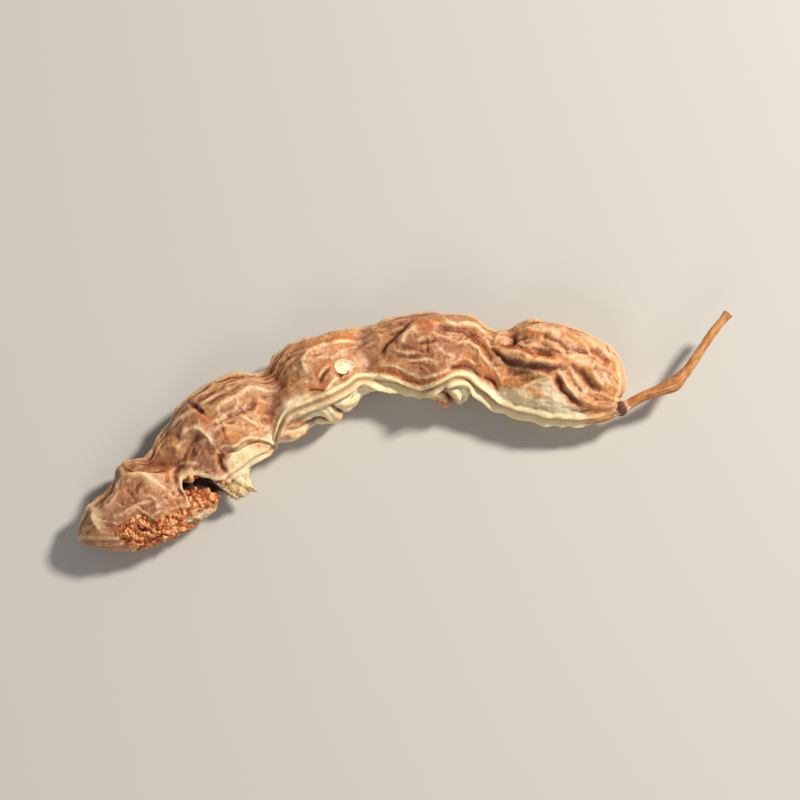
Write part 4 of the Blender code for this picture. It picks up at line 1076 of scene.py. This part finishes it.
def ring_places(share):
    """Place along the spine for a share of the way from pole to pole: even, but crowded at the ends."""
    crowd = POLE_CROWDING
    start = share**2 / (2 * crowd)
    finish = 1 - crowd - (1 - share) ** 2 / (2 * crowd)
    even = share - crowd / 2
    shape = np.where(share < crowd, start, np.where(share > 1 - crowd, finish, even)) / (1 - crowd)
    return TIP_ALONG + (BASE_ALONG - TIP_ALONG) * shape


def hollowness(mesh, spread):
    """How far each vertex lies below its neighbours, in millimetres.

    It is above zero in a valley and below zero on a crest. The neighbours are averaged over spread steps
    along the edges.
    """
    count = len(mesh.vertices)
    points = np.empty(count * 3)
    mesh.vertices.foreach_get("co", points)
    points = points.reshape(-1, 3)
    normals = np.empty(count * 3)
    mesh.vertices.foreach_get("normal", normals)
    normals = normals.reshape(-1, 3)
    edges = np.empty(len(mesh.edges) * 2, int)
    mesh.edges.foreach_get("vertices", edges)
    first, second = edges.reshape(-1, 2).T
    degree = np.bincount(first, minlength=count) + np.bincount(second, minlength=count)
    average = points
    for _ in range(spread):
        total = np.zeros((count, 3))
        for axis, column in enumerate(average.T):
            total[:, axis] += np.bincount(first, column[second], count)
            total[:, axis] += np.bincount(second, column[first], count)
        average = total / degree[:, None]
    return np.sum((average - points) * normals, axis=1) / MM


def paint(mesh, facts):
    """Stores each named fact as a value at every vertex, for the materials to read."""
    for name, values in facts.items():
        layer = mesh.attributes.new(name, "FLOAT", "POINT")
        layer.data.foreach_set("value", np.asarray(values, np.float32))


def as_mesh(name, shape, material, points):
    """A smooth mesh from a bmesh, its vertices set to points in millimetres, none below the ground."""
    for vert, (x, y, z) in zip(shape.verts, points * MM):
        vert.co = (x, y, max(z, 0.0))
    bmesh.ops.recalc_face_normals(shape, faces=shape.faces)
    mesh = bpy.data.meshes.new(name)
    shape.to_mesh(mesh)
    shape.free()
    mesh.shade_smooth()
    mesh.materials.append(material)
    return mesh


def ball_grid(rings, columns):
    """A ball, and the ring of latitude and the turn round the pole at which each of its vertices lies."""
    shape = bmesh.new()
    bmesh.ops.create_uvsphere(shape, u_segments=columns, v_segments=rings, radius=1.0)
    ball = np.array([v.co for v in shape.verts])
    ring = np.round(np.arccos(np.clip(ball[:, 2], -1, 1)) / math.pi * rings).astype(int)
    column = np.round(np.arctan2(ball[:, 1], ball[:, 0]) / (2 * math.pi) * columns)
    return shape, ring, column / columns * 2 * math.pi


def make_skin(material):
    """The pod's skin: a ball whose rings of latitude become the sections along the spine."""
    shape, ring, turn = ball_grid(RINGS, COLUMNS)
    angle = np.remainder(turn - COLUMN_CROWDING * np.sin(turn - CROWDED_ANGLE), 2 * math.pi)
    angle[(ring == 0) | (ring == RINGS)] = 0.0
    points, facts = skin(ring_places(ring / RINGS), angle)
    mesh = as_mesh("pod_skin", shape, material, points)
    facts["valley"] = hollowness(mesh, VALLEY_STEPS)
    facts["basin"] = hollowness(mesh, BASIN_STEPS)
    paint(mesh, facts)
    return mesh


def make_grains(material):
    """Crumbs of dried pulp that fill the tear, each a rough little ball sunk in the floor of the tear."""
    draw = np.random.default_rng(GRAIN_SEED)
    along = draw.uniform(TORN_EDGE[0][0], TORN_EDGE[-1][0], GRAIN_TRIES)
    angle = draw.uniform(*GRAIN_ANGLES, GRAIN_TRIES)
    points, facts = skin(along, angle)
    crumbly = (facts["pulp"] > DEEP_PULP) & (facts["hollow"] < DEEP_HOLLOW)
    crumbly &= (facts["husk"] < CLEAR_OF_HUSK) & (facts["rim"] < CLEAR_OF_RIM)
    shape = bmesh.new()
    tones = []
    for spot in points[crumbly][:GRAINS]:
        radius = draw.uniform(*GRAIN_RADII)
        centre = Vector(spot) + Vector(draw.normal(0.0, GRAIN_SCATTER, 3))
        ball = bmesh.ops.create_icosphere(shape, subdivisions=3, radius=radius)
        stretch = Vector(draw.uniform(*GRAIN_STRETCH, 3))
        for vert in ball["verts"]:
            rough = 1 + GRAIN_ROUGH * noise.noise(vert.co * GRAIN_ROUGH_SCALE + centre)
            vert.co = Vector(a * b for a, b in zip(vert.co * rough, stretch)) + centre
        tones += [draw.uniform()] * len(ball["verts"])
    mesh = as_mesh("pod_pulp", shape, material, np.array([v.co for v in shape.verts]))
    paint(mesh, {"tone": tones})
    return mesh


def towards_view():
    """The direction from the pod to the view above it."""
    return Vector((
        math.sin(VIEW_AZIMUTH) * math.cos(VIEW_ELEVATION),
        -math.cos(VIEW_AZIMUTH) * math.cos(VIEW_ELEVATION),
        math.sin(VIEW_ELEVATION),
    ))


def lay_on(mesh, at, over):
    """The points of the skin, in millimetres, that are seen at places along and across the spine."""
    tree = BVHTree.FromPolygons([v.co for v in mesh.vertices], [p.vertices[:] for p in mesh.polygons])
    toward = towards_view()
    spots = place(at, over, np.full(len(at), SPINE_LEVEL)) * MM
    hits = [tree.ray_cast(Vector(spot) + toward * LOOK_FROM * MM, -toward)[0] for spot in spots]
    return np.array(hits) / MM


def make_flake(skin_mesh, material):
    """A loose, curled flake of pale skin that lies on the middle bead."""
    shape = bmesh.new()
    bmesh.ops.create_icosphere(shape, subdivisions=5, radius=1.0)
    ball = np.array([v.co for v in shape.verts])
    outline = np.array(FLAKE_OUTLINE) - FLAKE_MIDDLE
    bearings = np.arctan2(outline[:, 1], outline[:, 0])
    order = np.argsort(bearings)
    bearing = np.arctan2(ball[:, 1], ball[:, 0])
    reach = np.interp(bearing, bearings[order], np.linalg.norm(outline, axis=1)[order], period=2 * math.pi)
    reach *= 1 + FLAKE_RAGGED * noise_at(stacked(np.cos(bearing), np.sin(bearing)) * FLAKE_RAGGED_PITCH)
    at = FLAKE_MIDDLE[0] + ball[:, 0] * reach
    over = FLAKE_MIDDLE[1] + ball[:, 1] * reach
    laid = lay_on(skin_mesh, at, over)
    flat = place(at, over, np.zeros(len(at)))
    draped = FLAKE_FOLLOW * (laid - laid.mean(axis=0))
    points = laid.mean(axis=0) + draped + (1 - FLAKE_FOLLOW) * (flat - flat.mean(axis=0))
    curl = FLAKE_CURL[0] * np.clip(-ball[:, 1], 0, 1) ** 2 + FLAKE_CURL[1] * np.clip(ball[:, 0], 0, 1) ** 2
    creases = FLAKE_CREASE_RISE * noise_at(stacked(at, over) * FLAKE_CREASE_PITCH, FLAKE_CREASE_SEED)
    points[:, 2] += FLAKE_LIFT + curl + creases + FLAKE_THICKNESS / 2 * ball[:, 2]
    return as_mesh("pod_flake", shape, material, points)


def make_stalk(material):
    """The stalk: a ribbed tube with a swollen joint, an elbow and a splintered end."""
    route = smooth_path(STALK, STALK_STEPS)
    lengths = np.concatenate([[0.0], np.cumsum(np.linalg.norm(np.diff(route[:, :3], axis=0), axis=1))])
    at = np.linspace(0.0, lengths[-1], STALK_RINGS + 1)
    line = np.column_stack([np.interp(at, lengths, column) for column in route.T])
    centres, radii = line[:, :3], line[:, 3]
    tangents = np.gradient(centres, axis=0)
    tangents /= np.linalg.norm(tangents, axis=1)[:, None]
    sides = np.cross(tangents, (0.0, 0.0, 1.0))
    sides /= np.linalg.norm(sides, axis=1)[:, None]
    ups = np.cross(sides, tangents)

    shape, ring, turn = ball_grid(STALK_RINGS, STALK_SIDES)
    cosine, sine = np.cos(turn), np.sin(turn)
    place_along = at[ring]
    twist = turn + STALK_TWIST * place_along
    swayed = COARSE_RIBS * twist + RIB_SWAY * np.sin(RIB_SWAY_RATE * place_along)
    ribs = COARSE_RIB * np.abs(np.sin(swayed)) + FINE_RIB * np.sin(FINE_RIBS * twist)
    lengthwise, crosswise = STALK_PITCH
    around = np.column_stack([place_along / lengthwise, cosine * crosswise, sine * crosswise])
    fibre = noise_at(around * FIBRE_STRETCH, FIBRE_SEED)
    knots = noise_at(around * KNOT_STRETCH, KNOT_SEED)
    splinter = 0.5 + noise_at(around * SPLINTER_STRETCH, SPLINTER_SEED)
    splinter *= ramp(ring / STALK_RINGS, *SPLINTERED)
    size = radii[ring] * (1 + RIB_SHARE * ribs + FIBRE_SHARE * fibre + KNOT_SHARE * knots)
    pole = (ring == 0) | (ring == STALK_RINGS)
    size = np.where(pole, 0.0, size * (1 - SPLINTER_THINNED * splinter))
    outward = cosine[:, None] * sides[ring] + sine[:, None] * ups[ring]
    sunk = SPLINTER_SUNK * splinter * ~pole
    points = centres[ring] + size[:, None] * outward - sunk[:, None] * tangents[ring]
    from_joint = np.linalg.norm(centres[ring] - JOINT, axis=1)
    mesh = as_mesh("pod_stalk", shape, material, points)
    paint(mesh, {
        "joint": ramp(-from_joint + JOINT_SWAY * knots, *JOINT_FADE),
        "fuzz": ramp(-np.abs(from_joint - FUZZ_RADIUS) + JOINT_SWAY * fibre, *FUZZ_FADE),
        "neck": ramp(-place_along, *NECK_FADE),
        "fibre": fibre,
        "valley": hollowness(mesh, VALLEY_STEPS),
    })
    return mesh


def add_pieces(meshes):
    """Centres the meshes, taken together, on the plan of the solid pod, and puts them in its place."""
    corners = np.concatenate([[v.co[:2] for v in mesh.vertices] for mesh in meshes])
    middle = (corners.min(axis=0) + corners.max(axis=0)) / 2
    low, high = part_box(NODE)
    shift = ((low[0] + high[0]) / 2 - middle[0], (low[1] + high[1]) / 2 - middle[1], 0.0)
    for mesh in meshes:
        mesh.transform(Matrix.Translation(shift))
        piece = bpy.data.objects.new(mesh.name, mesh)
        bpy.context.scene.collection.objects.link(piece)
        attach(piece, BODY)
        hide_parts(NODE)


class Graph:
    """A short way to write a material's nodes. Values are sockets, numbers or colours."""

    def __init__(self, name):
        self.material = bpy.data.materials.new(name)
        self.material.use_nodes = True
        self.tree = self.material.node_tree
        self.shader = self.tree.nodes["Principled BSDF"]
        self.where = self.tree.nodes.new("ShaderNodeTexCoord").outputs["Object"]

    def add(self, kind, inputs=(), output=0, **settings):
        """A node with its settings and inputs, by name or number; returns one of its outputs."""
        node = self.tree.nodes.new(kind)
        for name, value in settings.items():
            setattr(node, name, value)
        for key, value in dict(inputs).items():
            self.feed(node.inputs[key], value)
        return node.outputs[output]

    def feed(self, socket, value):
        """Links a socket to a socket, or sets a plain value on it."""
        if isinstance(value, bpy.types.NodeSocket):
            self.tree.links.new(value, socket)
        else:
            socket.default_value = value

    def fact(self, name):
        """A value that was stored at the vertices."""
        return self.add("ShaderNodeAttribute", attribute_name=name, output=2)

    def noise(self, size, detail=3.0, rough=0.55, warp=0.0):
        """Noise from 0 to 1 with features of about that size, in millimetres."""
        inputs = {
            "Vector": self.where,
            "Scale": 1 / (size * MM),
            "Detail": detail,
            "Roughness": rough,
            "Distortion": warp,
        }
        return self.add("ShaderNodeTexNoise", inputs)

    def spread(self, value, low, high, out_low=0.0, out_high=1.0):
        """value, eased from low..high to out_low..out_high."""
        inputs = {0: value, 1: low, 2: high, 3: out_low, 4: out_high}
        return self.add("ShaderNodeMapRange", inputs, interpolation_type="SMOOTHSTEP")

    def plus(self, a, b):
        """Two values added up."""
        return self.add("ShaderNodeMath", {0: a, 1: b}, operation="ADD")

    def times(self, value, share):
        """A value taken a share of, or times another."""
        return self.add("ShaderNodeMath", {0: value, 1: share}, operation="MULTIPLY")

    def mix(self, amount, a, b):
        """Colour a turned into colour b by amount."""
        return self.add("ShaderNodeMix", {0: amount, 6: a, 7: b}, output=2, data_type="RGBA")

    def bump(self, height, depth, under=None):
        """A bumped normal; depth is in millimetres."""
        inputs = {"Height": height, "Distance": depth * MM, "Strength": 1.0}
        if under is not None:
            inputs["Normal"] = under
        return self.add("ShaderNodeBump", inputs)

    def finish(self, colour, roughness, normal):
        """Feeds the shader."""
        self.feed(self.shader.inputs["Base Color"], colour)
        self.feed(self.shader.inputs["Roughness"], roughness)
        self.feed(self.shader.inputs["Normal"], normal)
        return self.material


def skin_material():
    """Dried fruit skin: mottled mauve to tan, pale crests with a painted highlight, rust-brown painted
    shade in the creases, a cream margin at the seam.
    """
    g = Graph("dried_skin")
    blotches = g.noise(3.2, detail=4.0, warp=0.6)
    mottle = g.noise(0.9, detail=5.0, rough=0.65, warp=0.4)
    specks = g.noise(0.28, detail=3.0, rough=0.7)
    pores = g.noise(0.16, detail=2.0)

    warm = g.plus(g.fact("warmth"), g.spread(blotches, 0.35, 0.65, -0.35, 0.35))
    colour = g.mix(g.spread(warm, 0.0, 1.0), srgb(166, 108, 78), srgb(210, 148, 92))
    colour = g.mix(g.spread(mottle, 0.5, 0.72, 0.0, 0.6), colour, srgb(138, 72, 44))
    colour = g.mix(g.spread(mottle, 0.46, 0.3, 0.0, 0.5), colour, srgb(222, 172, 132))
    amber = g.times(g.fact("amber"), g.spread(blotches, 0.3, 0.6, 1.0, 0.35))
    colour = g.mix(amber, colour, srgb(216, 138, 68))
    leather = g.noise(0.42, detail=4.0, rough=0.7, warp=0.3)
    colour = g.mix(g.spread(leather, 0.52, 0.66, 0.0, 0.5), colour, srgb(122, 64, 42))
    colour = g.mix(g.spread(leather, 0.46, 0.34, 0.0, 0.4), colour, srgb(236, 192, 152))
    colour = g.mix(g.times(g.fact("pale"), 0.75), colour, srgb(236, 200, 160))

    cream = g.mix(g.spread(mottle, 0.4, 0.62), srgb(254, 238, 196), srgb(240, 204, 140))
    cream = g.mix(g.spread(specks, 0.55, 0.72, 0.0, 0.35), cream, srgb(204, 142, 74))
    cream = g.mix(g.spread(blotches, 0.6, 0.42, 0.0, 0.5), cream, srgb(252, 244, 216))
    colour = g.mix(g.times(g.fact("cream"), 0.9), colour, cream)

    valley = g.fact("valley")
    # Crests found on the mesh are made paler: partly the ridges' own pale colour, partly a painted
    # highlight
    crest = g.spread(valley, -0.005, -0.04, 0.0, 0.55)
    colour = g.mix(crest, colour, srgb(238, 194, 136))
    # Orange-brown marks: partly real stains, partly painted shade below ridges and the seam
    rust_and_shade = g.mix(g.spread(mottle, 0.4, 0.65), srgb(222, 130, 48), srgb(172, 74, 20))
    stain_and_shade = g.times(g.fact("stain_and_shade"), g.spread(mottle, 0.25, 0.6, 0.5, 0.95))
    colour = g.mix(stain_and_shade, colour, rust_and_shade)
    # Painted shade: the skin is darkened where it lies below its neighbours, in its creases, and less so in
    # the cream margin
    sheltered = g.spread(g.fact("cream"), 0.0, 1.0, 1.0, 0.4)
    sunk = g.times(g.spread(valley, 0.004, 0.035, 0.0, 0.8), sheltered)
    colour = g.mix(sunk, colour, srgb(112, 46, 18))
    # Painted shade: broad hollows of the skin are darkened
    colour = g.mix(g.spread(g.fact("basin"), 0.02, 0.28, 0.0, 0.4), colour, srgb(128, 72, 50))
    lit = g.times(g.fact("lit"), g.spread(mottle, 0.62, 0.4, 0.35, 0.95))
    colour = g.mix(lit, colour, srgb(250, 222, 172))
    # Painted shade along the drawn creases
    colour = g.mix(g.times(g.fact("creased"), 0.7), colour, srgb(116, 48, 18))
    lips = g.times(g.fact("lips"), g.spread(specks, 0.62, 0.45, 0.5, 0.95))
    colour = g.mix(lips, colour, srgb(254, 238, 184))
    colour = g.mix(g.times(g.fact("groove"), 0.8), colour, srgb(150, 96, 40))
    # Dark marks: mostly painted shade in creases, slits and under folds, with a few real dark spots
    colour = g.mix(g.times(g.fact("dark"), 0.95), colour, srgb(86, 28, 9))
    colour = g.mix(g.spread(specks, 0.64, 0.74, 0.0, 0.5), colour, srgb(90, 44, 24))
    colour = g.mix(g.spread(pores, 0.34, 0.24, 0.0, 0.45), colour, srgb(246, 224, 190))

    tatter = g.mix(g.spread(mottle, 0.42, 0.6), srgb(240, 216, 160), srgb(164, 126, 66))
    colour = g.mix(g.times(g.fact("flap"), 0.9), colour, tatter)
    pulp = g.mix(g.spread(mottle, 0.35, 0.65), srgb(206, 124, 72), srgb(112, 44, 15))
    colour = g.mix(g.fact("pulp"), colour, pulp)
    husk = g.mix(g.spread(specks, 0.42, 0.6), srgb(232, 208, 150), srgb(112, 84, 44))
    colour = g.mix(g.fact("husk"), colour, husk)
    # Painted shade: the hollows in the pulp are near black
    colour = g.mix(g.spread(g.fact("hollow"), 0.15, 0.5, 0.0, 0.97), colour, srgb(44, 12, 7))
    colour = g.mix(g.times(g.fact("rind"), 0.85), colour, srgb(238, 200, 172))
    colour = g.mix(g.times(g.fact("rim"), 0.9), colour, srgb(244, 214, 168))

    roughness = g.spread(mottle, 0.3, 0.7, 0.36, 0.58)
    roughness = g.plus(roughness, g.times(g.fact("cream"), 0.14))
    roughness = g.plus(roughness, g.times(g.fact("pulp"), 0.3))
    normal = g.bump(specks, 0.05)
    normal = g.bump(pores, 0.025, normal)
    normal = g.bump(mottle, 0.12, normal)
    g.shader.inputs["Subsurface Weight"].default_value = 0.06
    g.shader.inputs["Subsurface Radius"].default_value = (1.0, 0.45, 0.2)
    g.shader.inputs["Subsurface Scale"].default_value = 0.5 * MM
    g.shader.inputs["Coat Weight"].default_value = 0.12
    g.shader.inputs["Coat Roughness"].default_value = 0.3
    return g.finish(colour, roughness, normal)


def flake_material():
    """A flake of dead skin: pale cream, a little stained."""
    g = Graph("pale_flake")
    clouds = g.noise(0.7, detail=3.0)
    grain = g.noise(0.15, detail=3.0, rough=0.7)
    colour = g.mix(g.spread(clouds, 0.45, 0.7), srgb(253, 242, 212), srgb(234, 200, 142))
    colour = g.mix(g.spread(grain, 0.6, 0.75, 0.0, 0.4), colour, srgb(190, 140, 84))
    return g.finish(colour, g.spread(grain, 0.3, 0.7, 0.5, 0.7), g.bump(grain, 0.03))


def pulp_material():
    """Dried pulp: crumbly, orange brown, with painted highlight flecks."""
    g = Graph("dried_pulp")
    lumps = g.noise(0.7, detail=4.0, rough=0.6)
    crumbs = g.noise(0.2, detail=3.0, rough=0.7)
    tone = g.plus(g.fact("tone"), g.spread(lumps, 0.35, 0.65, -0.3, 0.3))
    colour = g.mix(g.spread(tone, 0.2, 0.8), srgb(200, 104, 48), srgb(250, 184, 122))
    colour = g.mix(g.spread(tone, 0.1, -0.2), colour, srgb(110, 40, 14))
    colour = g.mix(g.spread(crumbs, 0.5, 0.7, 0.0, 0.7), colour, srgb(110, 46, 16))
    # Painted highlights: pale pinkish-white flecks on the crumbs
    colour = g.mix(g.spread(crumbs, 0.42, 0.3, 0.0, 0.5), colour, srgb(250, 196, 146))
    return g.finish(colour, g.spread(crumbs, 0.3, 0.7, 0.5, 0.85), g.bump(crumbs, 0.08))


def stalk_material():
    """Dry stalk: orange tan, painted shade darkening its furrows, dark and scurfy at the joint."""
    g = Graph("dried_stalk")
    streaks = g.noise(1.4, detail=4.0, rough=0.6, warp=0.5)
    flecks = g.noise(0.25, detail=4.0, rough=0.7)
    colour = g.mix(g.spread(streaks, 0.35, 0.65), srgb(222, 158, 96), srgb(184, 110, 54))
    colour = g.mix(g.spread(g.fact("fibre"), 0.1, 0.6, 0.0, 0.5), colour, srgb(236, 190, 132))
    colour = g.mix(g.times(g.fact("neck"), 0.6), colour, srgb(232, 196, 136))
    # Painted shade: the stalk is darkened in its furrows
    colour = g.mix(g.spread(g.fact("valley"), 0.002, 0.03, 0.0, 0.6), colour, srgb(140, 76, 36))
    colour = g.mix(g.spread(flecks, 0.58, 0.72, 0.0, 0.6), colour, srgb(120, 62, 32))
    colour = g.mix(g.times(g.fact("joint"), 0.9), colour, srgb(84, 42, 34))
    fuzz = g.times(g.fact("fuzz"), g.spread(flecks, 0.6, 0.45, 0.0, 0.8))
    colour = g.mix(fuzz, colour, srgb(236, 216, 196))
    normal = g.bump(flecks, 0.06)
    return g.finish(colour, g.spread(flecks, 0.3, 0.7, 0.48, 0.72), normal)


def floor_material():
    """A plain pale surface."""
    g = Graph("pale_floor")
    cloud = g.noise(220.0, detail=2.0)
    colour = g.mix(cloud, srgb(196, 193, 188), srgb(203, 200, 196))
    return g.finish(colour, g.spread(cloud, 0.3, 0.7, 0.62, 0.7), g.bump(cloud, 0.01))


def make_floor():
    """The surface that the pod lies on, as stage."""
    shape = bmesh.new()
    bmesh.ops.create_circle(shape, cap_ends=True, segments=96, radius=1.6)
    mesh = bpy.data.meshes.new("floor")
    shape.to_mesh(mesh)
    shape.free()
    mesh.materials.append(floor_material())
    floor = bpy.data.objects.new("floor", mesh)
    bpy.context.scene.collection.objects.link(floor)


def aimed(thing, position, target):
    """Puts a camera or light at position, looking at target."""
    bpy.context.scene.collection.objects.link(thing)
    thing.location = position
    thing.rotation_euler = (Vector(position) - Vector(target)).to_track_quat("Z", "Y").to_euler()


def make_light(name, direction, distance, size, power, colour):
    """A square area light that shines on the pod from a direction."""
    data = bpy.data.lights.new(name, "AREA")
    data.size = size
    data.energy = power
    data.color = colour
    aimed(bpy.data.objects.new(name, data), Vector(direction).normalized() * distance, (0.0, 0.0, 0.0))


def make_studio():
    """Soft light: a warm key from the photograph's upper right, a weak fill, and an even surround."""
    warm, pale = (1.0, 0.94, 0.84), (1.0, 0.96, 0.9)
    make_light("key", (0.7, 0.22, 0.72), distance=0.5, size=0.07, power=3.0, colour=warm)
    make_light("fill", (-0.3, -0.8, 0.6), distance=0.7, size=0.3, power=1.1, colour=pale)
    world = bpy.data.worlds.new("surround")
    bpy.context.scene.world = world
    world.use_nodes = True
    sky = world.node_tree.nodes["Background"]
    sky.inputs["Color"].default_value = (0.97, 0.98, 1.0, 1.0)
    sky.inputs["Strength"].default_value = 0.22
    bpy.context.scene.view_settings.view_transform = "Standard"


def make_camera():
    """A camera that sees the pod from the photograph's angle and nearly fills the frame with it."""
    back = towards_view()
    low, high = (Vector(corner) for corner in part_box(NODE))
    centre = (low + high) / 2
    data = bpy.data.cameras.new("camera")
    data.lens = LENS
    data.sensor_width = SENSOR
    data.clip_start = 0.01
    distance = (high.x - low.x) / FRAME_FILL * LENS / SENSOR
    camera = bpy.data.objects.new("camera", data)
    aimed(camera, centre + back * distance, centre)
    bpy.context.scene.camera = camera


make_camera()
make_studio()
make_floor()
skin_mesh = make_skin(skin_material())
flake_mesh = make_flake(skin_mesh, flake_material())
add_pieces([skin_mesh, make_grains(pulp_material()), flake_mesh, make_stalk(stalk_material())])
